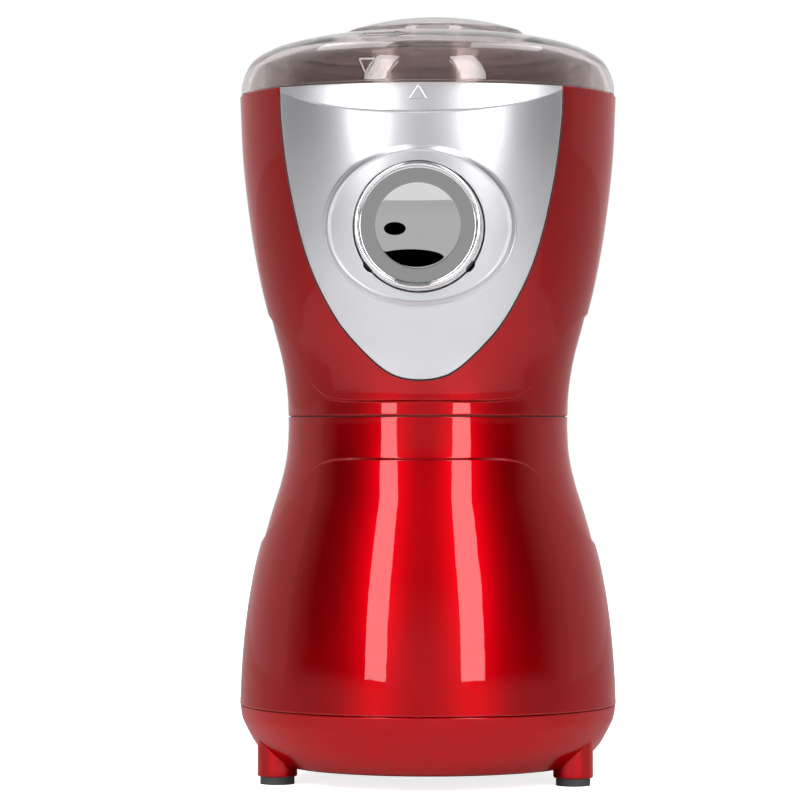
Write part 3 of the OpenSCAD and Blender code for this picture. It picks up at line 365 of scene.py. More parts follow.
class Nodes:
    """Adds nodes to one tree and feeds their inputs."""

    def __init__(self, owner: bpy.types.Material | bpy.types.World) -> None:
        """Opens the node tree of a material or a world."""
        owner.use_nodes = True
        self.tree = owner.node_tree

    def feed(self, node: str | bpy.types.Node, inputs: dict) -> None:
        """Sets a node's inputs.

        Args:
            node: The node or its name.
            inputs: For each input's name or number a plain value, a socket to link, or a node whose first
                output is linked.
        """
        node = self.tree.nodes[node] if isinstance(node, str) else node
        for key, value in inputs.items():
            if isinstance(value, bpy.types.Node):
                value = value.outputs[0]
            if isinstance(value, bpy.types.NodeSocket):
                self.tree.links.new(value, node.inputs[key])
            else:
                node.inputs[key].default_value = value

    def add(self, kind: str, inputs: dict | None = None, **settings: str) -> bpy.types.Node:
        """Adds a node.

        Args:
            kind: The node's type.
            inputs: What its inputs take, as in feed.
            settings: Values for the node's own settings.

        Returns:
            The node.
        """
        node = self.tree.nodes.new(kind)
        for key, value in settings.items():
            setattr(node, key, value)
        self.feed(node, inputs or {})
        return node

    def ramp(self, value: bpy.types.NodeSocket, low: float, high: float, start: float = 0.0,
             end: float = 1.0) -> bpy.types.Node:
        """Adds a node that turns the range from start to end into the range from low to high."""
        return self.add("ShaderNodeMapRange", {"Value": value, "From Min": start, "From Max": end,
                                               "To Min": low, "To Max": high})

    def join(self, operation: str, first: bpy.types.NodeSocket | bpy.types.Node,
             second: bpy.types.NodeSocket | bpy.types.Node | float) -> bpy.types.Node:
        """Adds a node that joins two values by an operation."""
        return self.add("ShaderNodeMath", {0: first, 1: second}, operation=operation)


# ---- finishes


class Grain(Enum):
    """Fine texture that a finish carries."""

    MOULDED = "moulded"
    PEARL = "pearl"
    TURNED = "turned"
    DRAWN = "drawn"
    STACKED = "stacked"
    WOUND = "wound"


BROAD_SCALE = 60.0
RIPPLE_SCALE = 160.0
GRAINS_IN_A_WAVE = 20
STRETCH = {Grain.DRAWN: (1.0, 1.0, 0.03), Grain.WOUND: (0.08, 0.08, 1.0)}
MADE: dict[str, bpy.types.Material] = {}


@dataclass(frozen=True)
class Finish:
    """Look of one material, with its fine texture made from nodes."""

    name: str
    colour: Colour
    rough: float
    second: Colour
    grain: Grain = Grain.MOULDED
    metal: float = 0.0
    coat: float = 0.0
    coat_rough: float = 0.03
    coat_ior: float = 1.5
    edge: Colour = (1.0, 1.0, 1.0)
    clear: float = 0.0
    ior: float = 1.5
    grain_size: float = 0.6
    relief: float = 0.01
    ripple: float = 0.0
    wear: float = 0.05

    def material(self) -> bpy.types.Material:
        """Gives the material, made on first use."""
        if self.name not in MADE:
            MADE[self.name] = self._make()
        return MADE[self.name]

    def dress(self, piece: bpy.types.Object) -> None:
        """Puts the finish on a piece.

        Args:
            piece: The object, whose material slots all take it.
        """
        if not piece.data.materials:
            piece.data.materials.append(self.material())
        for holder in piece.material_slots:
            holder.material = self.material()

    def _make(self) -> bpy.types.Material:
        """Builds the node tree.

        Returns:
            The new material.
        """
        material = bpy.data.materials.new(self.name)
        nodes = Nodes(material)
        place = nodes.add("ShaderNodeTexCoord").outputs["Object"]
        fine = self._texture(nodes, place)
        broad = nodes.add("ShaderNodeTexNoise", {"Vector": place, "Scale": BROAD_SCALE, "Detail": 3.0})
        tint = nodes.add("ShaderNodeMix", data_type="RGBA")
        nodes.feed(tint, {"Factor": fine, "A": (*self.colour, 1.0), "B": (*self.second, 1.0)})
        rough = nodes.ramp(broad, self.rough * (1 - self.wear), min(self.rough * (1 + self.wear), 1.0))
        bump = self._bump(nodes, fine, self.relief)
        nodes.feed("Principled BSDF", {
            "Base Color": tint.outputs["Result"], "Metallic": self.metal, "Specular Tint": (*self.edge, 1.0),
            "Roughness": rough, "Coat Weight": self.coat, "Coat Roughness": self.coat_rough,
            "Coat IOR": self.coat_ior, "Transmission Weight": self.clear, "IOR": self.ior, "Normal": bump})
        if self.ripple:
            slow = nodes.add("ShaderNodeTexNoise", {"Vector": place, "Scale": RIPPLE_SCALE, "Detail": 1.0})
            wave = self._bump(nodes, slow, self.ripple)
            nodes.feed(bump, {"Normal": wave})
            nodes.feed("Principled BSDF", {"Coat Normal": wave})
        return material

    def _bump(self, nodes: Nodes, height: bpy.types.Node | bpy.types.NodeSocket,
              depth: float) -> bpy.types.Node:
        """Adds a bump of a depth in millimetres."""
        return nodes.add("ShaderNodeBump", {"Height": height, "Distance": depth * MM, "Strength": 1.0})

    def _texture(self, nodes: Nodes, place: bpy.types.NodeSocket) -> bpy.types.NodeSocket:
        """Makes the fine texture.

        Args:
            nodes: The material's nodes.
            place: The socket that gives the place on the object.

        Returns:
            The socket that carries the texture, from 0 to 1.
        """
        scale = 1.0 / (self.grain_size * MM)
        if self.grain is Grain.PEARL:
            return nodes.add("ShaderNodeTexVoronoi", {"Vector": place, "Scale": scale}).outputs["Color"]
        if self.grain is Grain.STACKED:
            inputs = {"Vector": place, "Scale": scale / GRAINS_IN_A_WAVE}
            return nodes.add("ShaderNodeTexWave", inputs, bands_direction="Z").outputs["Fac"]
        if self.grain is Grain.TURNED:
            track = self._track(nodes, place)
        else:
            stretch = STRETCH.get(self.grain, (1.0, 1.0, 1.0))
            track = nodes.add("ShaderNodeMapping", {"Vector": place, "Scale": stretch})
        noise = nodes.add("ShaderNodeTexNoise", {"Vector": track, "Scale": scale, "Detail": 4.0})
        return noise.outputs["Fac"]

    def _track(self, nodes: Nodes, place: bpy.types.NodeSocket) -> bpy.types.Node:
        """Turns a place into its radius and height, so that a texture makes rings as a lathe leaves them.

        Args:
            nodes: The material's nodes.
            place: The socket that gives the place on the object.

        Returns:
            The node that gives the radius and the height.
        """
        x, y, z = nodes.add("ShaderNodeSeparateXYZ", {"Vector": place}).outputs
        flat = nodes.add("ShaderNodeCombineXYZ", {"X": x, "Y": y})
        radius = nodes.add("ShaderNodeVectorMath", {0: flat}, operation="LENGTH").outputs["Value"]
        return nodes.add("ShaderNodeCombineXYZ", {"X": radius, "Z": z})


RED = Finish("red_pearl", (0.38, 0.0, 0.003), 0.4, (0.29, 0.0, 0.002), Grain.PEARL, metal=1.0, coat=0.7,
             coat_rough=0.02, coat_ior=1.4, edge=(1.0, 0.03, 0.05), grain_size=0.22, relief=0.0, ripple=0.02)
# Lighter copy of the red pearl for the base, with less coat: painted light, for the brightness the base takes
# from the pale table below it.
LIT_BASE_RED = replace(RED, name="base_pearl_painted_light", colour=(0.45, 0.0, 0.004), coat=0.55)
SILVER = Finish("satin_silver", (0.51, 0.51, 0.532), 0.31, (0.47, 0.47, 0.491), Grain.PEARL, metal=0.9,
                grain_size=0.16, relief=0.0)
CHROME = Finish("chrome_plate", (0.78, 0.78, 0.79), 0.0, (0.76, 0.76, 0.77), metal=1.0, relief=0.0)
SATIN_CHROME = Finish("satin_chrome", (0.56, 0.56, 0.57), 0.12, (0.53, 0.53, 0.54), metal=1.0, relief=0.0)
# Near-black red: painted shade for the panel's recess and the seam between the shells, where little light
# reaches.
PAINTED_SHADE_RED = Finish("painted_shade_red", (0.03, 0.001, 0.002), 0.5, (0.02, 0.001, 0.001))
# Opaque dark grey for the lid's moulded marks: painted shade, standing in for the dark edges that the relief
# lines show in the smoked lid.
SHADED_MARK = Finish("mark_painted_shade", (0.2, 0.18, 0.175), 0.25, (0.17, 0.155, 0.15), relief=0.0)
SMOKED = Finish("smoked_acrylic", (0.64, 0.58, 0.567), 0.02, (0.64, 0.58, 0.567), coat=0.85, coat_rough=0.01,
                clear=1.0, ior=1.03, relief=0.0, ripple=0.012)
RUBBER = Finish("moulded_rubber", (0.018, 0.018, 0.019), 0.72, (0.035, 0.035, 0.036), grain_size=0.5,
                relief=0.03)
SILICONE = Finish("clear_silicone", (0.62, 0.62, 0.61), 0.5, (0.7, 0.7, 0.68), relief=0.02)
BLACK = Finish("moulded_black", (0.02, 0.02, 0.021), 0.45, (0.035, 0.035, 0.037), relief=0.02)
GREY = Finish("moulded_grey", (0.1, 0.1, 0.105), 0.42, (0.13, 0.13, 0.135), relief=0.02)
NYLON = Finish("moulded_nylon", (0.78, 0.75, 0.66), 0.4, (0.7, 0.67, 0.58), relief=0.02)
CUP_STEEL = Finish("spun_steel", (0.62, 0.62, 0.63), 0.24, (0.5, 0.5, 0.51), Grain.TURNED, metal=1.0,
                   grain_size=0.5, relief=0.012)
BLADE_STEEL = Finish("ground_steel", (0.6, 0.6, 0.61), 0.22, (0.48, 0.48, 0.49), metal=1.0, grain_size=0.4,
                     relief=0.012)
SHAFT_STEEL = Finish("bright_steel", (0.58, 0.58, 0.6), 0.2, (0.5, 0.5, 0.52), Grain.TURNED, metal=1.0)
ZINC = Finish("zinc_plate", (0.5, 0.51, 0.52), 0.34, (0.42, 0.43, 0.44), metal=1.0, grain_size=2.0)
SPRING = Finish("spring_wire", (0.45, 0.45, 0.47), 0.3, (0.38, 0.38, 0.4), Grain.DRAWN, metal=1.0)
SHEETS = Finish("stacked_sheets", (0.2, 0.2, 0.215), 0.5, (0.1, 0.1, 0.11), Grain.STACKED, metal=0.8,
                grain_size=0.5, relief=0.06)
WINDING = Finish("enamelled_wire", (0.5, 0.16, 0.04), 0.35, (0.22, 0.06, 0.015), Grain.WOUND, metal=0.7,
                 relief=0.25)
COPPER = Finish("turned_copper", (0.6, 0.26, 0.12), 0.25, (0.48, 0.2, 0.09), Grain.TURNED, metal=1.0)
BRONZE = Finish("sintered_bronze", (0.38, 0.22, 0.09), 0.5, (0.3, 0.17, 0.07), metal=0.9, relief=0.04)
BRASS = Finish("pressed_brass", (0.62, 0.42, 0.15), 0.3, (0.52, 0.34, 0.11), metal=1.0)
CARBON = Finish("carbon_block", (0.025, 0.025, 0.028), 0.6, (0.05, 0.05, 0.055), relief=0.03)
RESIN = Finish("capacitor_resin", (0.55, 0.32, 0.03), 0.3, (0.48, 0.27, 0.02))
WIRE = Finish("wire_cover", (0.03, 0.07, 0.4), 0.4, (0.02, 0.05, 0.32), relief=0.02)

NODE_FINISHES = (
    (RUBBER, ("foot_pads", "shaft_seal", "motor_dampers", "cord_grommet")),
    (SILICONE, ("lid_gasket", "cup_seal")),
    (ZINC, ("case_screws", "panel_screws", "switch_screws", "holder_screws", "top_bracket", "bottom_bracket",
            "motor_screws", "stator_screws")),
    (BLACK, ("button_guide", "button_carrier", "start_switch", "interlock_switch", "blade_spacer",
             "blade_nut")),
    (NYLON, ("start_plunger", "interlock_ring", "interlock_plunger", "thrust_washers", "cooling_fan",
             "terminal_block")),
    (GREY, ("cup_holder",)), (CUP_STEEL, ("grinding_cup",)), (BLADE_STEEL, ("blade",)),
    (SHAFT_STEEL, ("motor_shaft",)), (SHEETS, ("rotor_core", "stator_core")),
    (WINDING, ("armature_windings", "field_coils")), (COPPER, ("commutator",)), (BRONZE, ("shaft_bushes",)),
    (BRASS, ("brush_holders",)), (CARBON, ("carbon_brushes",)), (SPRING, ("brush_springs",)),
    (RESIN, ("suppression_capacitor",)), (WIRE, ("lead_wires",)),
)


# ---- body


@dataclass(frozen=True)
class BodyForm:
    """Outer form that the housings, the panel and the base share."""

    wide_r: float = 49.4
    waist_r: float = 37.2
    waist_z: float = 93.0
    mid_seam_z: float = 95.3
    base_seam_z: float = 19.9
    lid_seam_z: float = 179.1
    wall: float = 2.6
    band_depth: float = 0.6
    band_fade_h: float = 13.0
    band_fade: Pair = (0.5, 1.05)
    step_half: float = 0.42
    step_share: float = 0.85
    seam_gap: float = 0.05
    mid_gap: float = 0.12
    edge_r: float = 0.3
    pieces: int = 40
    edge_reach: Pair = (50.0, -65.0)
    upper_flare: tuple[Pair, ...] = (
        (0, 0), (0.1, 0.03), (0.2, 0.14), (0.3, 0.325), (0.444, 0.572), (0.6, 0.765), (0.8, 0.93), (1, 1))
    lower_flare: tuple[Pair, ...] = (
        (0, 0), (0.1, 0.033), (0.2, 0.157), (0.3, 0.343), (0.4, 0.515), (0.52, 0.695), (0.68, 0.855),
        (0.85, 0.955), (1, 1))
    band_top: tuple[Pair, ...] = (
        (0, 3.9), (19, 3.9), (24.5, 4.9), (28.2, 7.7), (31, 12.7), (35, 19.1), (41, 25.8), (54, 38.8))
    band_foot: tuple[Pair, ...] = (
        (0, -11), (20, -11), (25.8, -12), (29.1, -14.2), (32, -17.9), (35.4, -22.4), (43, -32.2), (56, -48))

    def __post_init__(self) -> None:
        """Draws the smooth tables once."""
        for name in ("upper_flare", "lower_flare", "band_top", "band_foot"):
            object.__setattr__(self, name + "_line", smooth_curve(getattr(self, name), self.pieces))

    def radius(self, z: float) -> float:
        """Reads the body's outline.

        Args:
            z: The height.

        Returns:
            The radius there.
        """
        if z > self.waist_z:
            share = look_up((z - self.waist_z) / (self.lid_seam_z - self.waist_z), self.upper_flare_line)
        else:
            share = look_up((self.waist_z - z) / (self.waist_z - self.base_seam_z), self.lower_flare_line)
        return self.waist_r + (self.wide_r - self.waist_r) * share

    def place(self, angle: float, z: float, inset: float = 0.0) -> Point:
        """Gives the point on the body at an angle from the front, in radians."""
        return from_front(self.radius(z) - inset, angle, z)

    def band_extra(self, angle: float, z: float) -> float:
        """Makes the front of the waist band upright.

        Args:
            angle: The angle from the front, in radians.
            z: The height.

        Returns:
            How much deeper the band lies there.
        """
        high = self.mid_seam_z + self.band_top[0][1]
        rise = self.radius(min(max(z, self.waist_z), high)) - self.waist_r
        start, width = self.band_fade
        return rise * (1 - ease((z - high) / self.band_fade_h)) * (1 - ease((abs(angle) - start) / width))

    def band_edge(self, angle: float, top: bool) -> float:
        """Finds the height of the waist band's upper or lower edge.

        Args:
            angle: The angle from the front, in radians.
            top: Whether the upper edge is wanted.

        Returns:
            The edge's height.
        """
        line = self.band_top_line if top else self.band_foot_line
        reach = self.edge_reach[0 if top else 1]

        def miss(z: float) -> float:
            """Tells how far a height is past the edge."""
            return (z - self.mid_seam_z) - look_up(self.radius(z) * abs(math.sin(angle)), line)

        return solve(miss, self.mid_seam_z, self.mid_seam_z + reach)

    def step(self, edge: float, rising: bool) -> list[Pair]:
        """Shapes the band's step.

        Args:
            edge: The height of the step's middle.
            rising: Whether the step leads up out of the band, rather than up into it.

        Returns:
            Pairs of height and inset, from the bottom up.
        """
        rows = []
        for t in spread(-1, 1, 8):
            share = ease((t + self.step_share) / (2 * self.step_share))
            rows.append((edge + t * self.step_half, self.band_depth * ((1 - share) if rising else share)))
        return rows


BODY = BodyForm()


@dataclass(frozen=True)
class PanelForm:
    """Front panel's outline, its leaning scoop and the crease between them."""

    edge: tuple[Pair, ...] = (
        (36.0, 2), (35.6, -9), (33.3, -26), (28.6, -44.5), (21.5, -58.9), (14.2, -67.6), (7.2, -73.2),
        (0, -74.6))
    gap: float = 0.25
    thick: float = 1.2
    crease_drop: float = 7.7
    scoop_tilt: float = math.radians(18)
    scoop_r: float = 58.3
    oval_w: float = 23.8
    oval_h: float = 19.5
    oval_rise: float = 0.4
    oval_slope: float = 0.5
    bead_half: float = 0.18
    bead_rise: float = 0.24

    def outline(self, grow: float) -> list[Pair]:
        """Draws the panel's right edge.

        Args:
            grow: How far the edge is moved outwards.

        Returns:
            The edge's points, from the bottom to the lid's seam.
        """
        right = [(x, z + BODY.lid_seam_z) for x, z in self.edge]
        left = [(-x, z) for x, z in reversed(right[:-1])]
        moved = list(reversed(shift(smooth_curve(right + left, 12), grow)))
        half = [p for p in moved if p[0] >= 0 and p[1] <= BODY.lid_seam_z]
        top = look_up(BODY.lid_seam_z, [(z, x) for x, z in moved if x > 20])
        return [(0.0, half[0][1])] + half[1:] + [(top, BODY.lid_seam_z)]

    def scoop_y(self, x: float, z: float) -> float:
        """Places the leaning scoop.

        Args:
            x: How far across, seen from the front.
            z: The height.

        Returns:
            The scoop's y there.
        """
        crease_z = BODY.lid_seam_z - self.crease_drop
        bulge = self.scoop_r - math.sqrt(self.scoop_r**2 - x * x)
        lean = math.tan(self.scoop_tilt) * (z - crease_z)
        return -BODY.radius(crease_z) + bulge / math.cos(self.scoop_tilt) + lean

    def body_y(self, x: float, z: float, inset: float = 0.0) -> float:
        """Gives where the body's round face stands, seen from the front at x and z."""
        r = BODY.radius(min(z, BODY.lid_seam_z)) - inset
        return -math.sqrt(max(r * r - x * x, 0.0))

    def crease_z(self, x: float) -> float:
        """Finds the height where the scoop leaves the body's face."""
        low = BODY.lid_seam_z - self.crease_drop - 1
        return solve(lambda z: self.scoop_y(x, z) - self.body_y(x, z), low, BODY.lid_seam_z + 3)

    def oval(self, angle: float) -> float:
        """Gives the raised oval's reach from the button's centre."""
        return 1 / math.hypot(math.cos(angle) / self.oval_w, math.sin(angle) / self.oval_h)


PANEL = PanelForm()


@dataclass(frozen=True)
class ColumnEnd:
    """Upper end of one column of the upper housing, on the panel's edge or on the rim."""

    foot: float
    spot: Pair
    away: Pair
    rim: bool

    def place(self, along: float, deep: float) -> Point:
        """Gives a point near the end.

        Args:
            along: Its distance from the end along the face.
            deep: Its depth below the face.

        Returns:
            The point.
        """
        if self.rim and self.away[0] == 0.0:
            return BODY.place(self.spot[0], self.spot[1] - along, deep)
        x, z = self.spot[0] + self.away[0] * along, self.spot[1] + self.away[1] * along
        return BODY.place(math.asin(min(x / BODY.radius(z), 1.0)), z, deep)


@dataclass
class UpperHousing:
    """Upper red shell, with the recess that holds the panel."""

    panel_columns: int = 70
    rim_columns: int = 90
    foot_spread: float = 1.12
    inner_foot_z: float = 168.0
    recess: float = 1.3
    recess_ledge: float = 2.0
    recess_edge_r: float = 0.12
    band_rows: int = 8
    wall_rows: int = 44

    def build(self) -> None:
        """Makes the shell and puts it in the place of its node."""
        sheet, ledge = Quilt(), Quilt()
        ends = self._ends()
        right = [self._column(end) for end in ends]
        sheet.columns([[(-x, y, z) for x, y, z in column] for column in reversed(right[1:])] + right)
        spots = (*quarter(self.recess_edge_r), (0.0, self.recess), (-self.recess_ledge, self.recess + CLEAR))
        half = [[end.place(*spot) for spot in spots] for end in ends if end.spot[1] < BODY.lid_seam_z]
        ledge.grid([[(-x, y, z) for x, y, z in row] for row in reversed(half[1:])] + half)
        # The recess's walls and ledge take the near-black red, which is painted shade in the narrow gap round
        # the panel.
        for name, quilt, finish in (("upper_shell", sheet, RED), ("panel_recess", ledge, PAINTED_SHADE_RED)):
            piece = quilt.sew(name)
            finish.dress(piece)
            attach(piece, "root")
            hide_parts("upper_housing")

    def _ends(self) -> list[ColumnEnd]:
        """Lists the columns' upper ends.

        Returns:
            The ends, from the middle of the front to the middle of the back.
        """
        top = BODY.lid_seam_z
        line = even_points(PANEL.outline(PANEL.gap), self.panel_columns)
        corner = math.asin(line[-1][0] / BODY.radius(top))
        spread_corner = corner * self.foot_spread
        ends = []
        for k, spot in enumerate(line):
            a, b = neighbours(line, k)
            size = math.dist(a, b)
            away = ((b[1] - a[1]) / size, -(b[0] - a[0]) / size)
            last = k == self.panel_columns
            if k == 0 or last:
                away = (float(last), -1.0)
            ends.append(ColumnEnd(spread_corner * (k / self.panel_columns), spot, away, last))
        for share in spread(0, 1, self.rim_columns)[1:]:
            foot = spread_corner + (math.pi - spread_corner) * share
            ends.append(ColumnEnd(foot, (corner + (math.pi - corner) * share, top), (0.0, -1.0), True))
        return ends

    def _column(self, end: ColumnEnd) -> list[Point]:
        """Lays one column of points.

        Args:
            end: Its upper end.

        Returns:
            The points, from the middle seam up to the panel or the rim.
        """
        seam = BODY.mid_seam_z + BODY.mid_gap
        depth = BODY.band_depth
        edge = BODY.band_edge(end.foot, top=True)
        column = [BODY.place(end.foot, seam, BODY.wall)]
        rows = [(seam + along, depth + deep) for along, deep in reversed(quarter(BODY.edge_r))]
        rows += [(z, depth) for z in spread(seam + 0.5, edge - BODY.step_half - CLEAR, self.band_rows)]
        rows += BODY.step(edge, rising=True)
        for z, inset in rows:
            extra = BODY.band_extra(end.foot, z) * min(inset / depth, 1.0)
            column.append(BODY.place(end.foot, z, inset + extra))
        start_z = edge + BODY.step_half + 0.15
        last = end.place(BODY.edge_r + CLEAR, 0.0)
        last_angle = math.atan2(last[0], -last[1])
        for t in spread(0, 1, self.wall_rows):
            angle = end.foot + (last_angle - end.foot) * ease(t)
            column.append(BODY.place(angle, start_z + (last[2] - start_z) * t))
        spots = (*quarter(BODY.edge_r), (0.0, BODY.wall - BODY.edge_r), (BODY.edge_r, BODY.wall))
        inside = spread(BODY.lid_seam_z - 1, self.inner_foot_z, 3)
        if not end.rim:
            return column + [end.place(self.recess_edge_r, 0.0)] * (len(spots) + len(inside))
        column += [end.place(*spot) for spot in spots]
        return column + [BODY.place(last_angle, z, BODY.wall) for z in inside]


@dataclass
class LidCatches:
    """Three lugs inside the rim that hold the lid's own lugs down, and the ledge under the cup holder."""

    radii: Pair = (43.5, 47.2)
    heights: Pair = (174.6, 176.8)
    angles: tuple[float, ...] = (106.5, 226.5, 346.5)
    half: float = 6.0
    lug_columns: int = 10
    columns: int = 120
    ledge: tuple[Pair, ...] = ((44.6, 168), (47, 168), (47, 170), (44.6, 170))

    def build(self) -> None:
        """Makes the lugs and the ledge."""
        sheet = Quilt()
        for centre in self.angles:
            sheet.block(self.radii, self.heights, (centre - self.half, centre + self.half), self.lug_columns)
        sheet.spin(self.ledge, self.columns, closed=True)
        piece = sheet.sew("lid_catches")
        RED.dress(piece)
        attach(piece, "root")
        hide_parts("upper_housing")


@dataclass
class LowerHousing:
    """Lower red shell, from the base seam to the middle seam."""

    columns: int = 240
    tongue_columns: int = 180
    cord_columns: int = 48
    wall_rows: int = 50
    band_rows: int = 16
    inner_rows: int = 12
    lip_rise: float = 3.5
    lip_wall: float = 1.5
    tongue_in: float = 0.25
    tongue_gap: float = 0.005
    cord_r: float = 5.2
    cord_rise: float = 12.1
    cord_reach: Pair = (40.0, 55.0)

    def build(self) -> None:
        """Makes the shell, cuts its cord hole and puts it in the place of its node."""
        sheet = Quilt()
        sheet.columns([self._column(a) for a in spread(-math.pi, math.pi, self.columns)[:-1]], closed=True)
        self._tongue()
        piece = sheet.sew("lower_shell")
        carve(piece, self._cord_hole())
        RED.dress(piece)
        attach(piece, "root")
        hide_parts("lower_housing")

    def _tongue(self) -> None:
        """Makes the rib that closes the gap between the two shells; its near-black red is painted shade in
        the seam.
        """
        inset = BODY.band_depth + BODY.edge_r + self.tongue_in
        half = BODY.mid_gap - self.tongue_gap
        heights = (BODY.mid_seam_z - half, BODY.mid_seam_z + half)
        turns = full_turn(self.tongue_columns)
        sheet = Quilt()
        sheet.grid([[BODY.place(a, z, inset) for a in turns] for z in heights], closed=True)
        piece = sheet.sew("seam_tongue")
        PAINTED_SHADE_RED.dress(piece)
        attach(piece, "root")
        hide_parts("lower_housing")

    def _cord_hole(self) -> bpy.types.Object:
        """Makes the cord hole's cutter.

        Returns:
            A cylinder through the back.
        """
        z = BODY.base_seam_z + self.cord_rise
        ring = [from_right(self.cord_r, a, 0.0) for a in full_turn(self.cord_columns)]
        front, back = [[(x, y, rise + z) for x, rise, _ in ring] for y in self.cord_reach]
        sheet = Quilt()
        sheet.grid([front, back], closed=True)
        for end, y in zip((front, back), self.cord_reach):
            sheet.grid([end, [(0.0, y, z)] * len(end)], closed=True)
        return sheet.sew("cord_cutter")

    def _column(self, angle: float) -> list[Point]:
        """Lays one column of points.

        Args:
            angle: Its angle from the front, in radians.

        Returns:
            The points, from the base seam up to the middle seam and down the inside.
        """
        low, high = BODY.base_seam_z + BODY.seam_gap, BODY.mid_seam_z - BODY.mid_gap
        depth = BODY.band_depth
        edge = BODY.band_edge(angle, top=False)
        column = [BODY.place(angle, low, BODY.wall)]
        column += [BODY.place(angle, low + along, deep) for along, deep in reversed(quarter(BODY.edge_r))]
        plain = spread(low + 0.5, edge - BODY.step_half - CLEAR, self.wall_rows)
        column += [BODY.place(angle, z) for z in plain]
        column += [BODY.place(angle, z, inset) for z, inset in BODY.step(edge, rising=False)]
        rows = [(z, depth) for z in spread(edge + BODY.step_half + CLEAR, high - 0.5, self.band_rows)]
        rows += [(high - along, depth + deep) for along, deep in quarter(BODY.edge_r)]
        column += [BODY.place(angle, z, inset + BODY.band_extra(angle, z)) for z, inset in rows]
        lip = BODY.radius(BODY.mid_seam_z) - BODY.wall - CLEAR
        for inset, rise in ((0.0, 0.0), (0.0, self.lip_rise), (self.lip_wall, self.lip_rise),
                            (self.lip_wall, -self.lip_rise)):
            column.append(from_front(lip - inset, angle, high + rise))
        return column + [BODY.place(angle, z, BODY.wall) for z in spread(high - 4, low, self.inner_rows)]


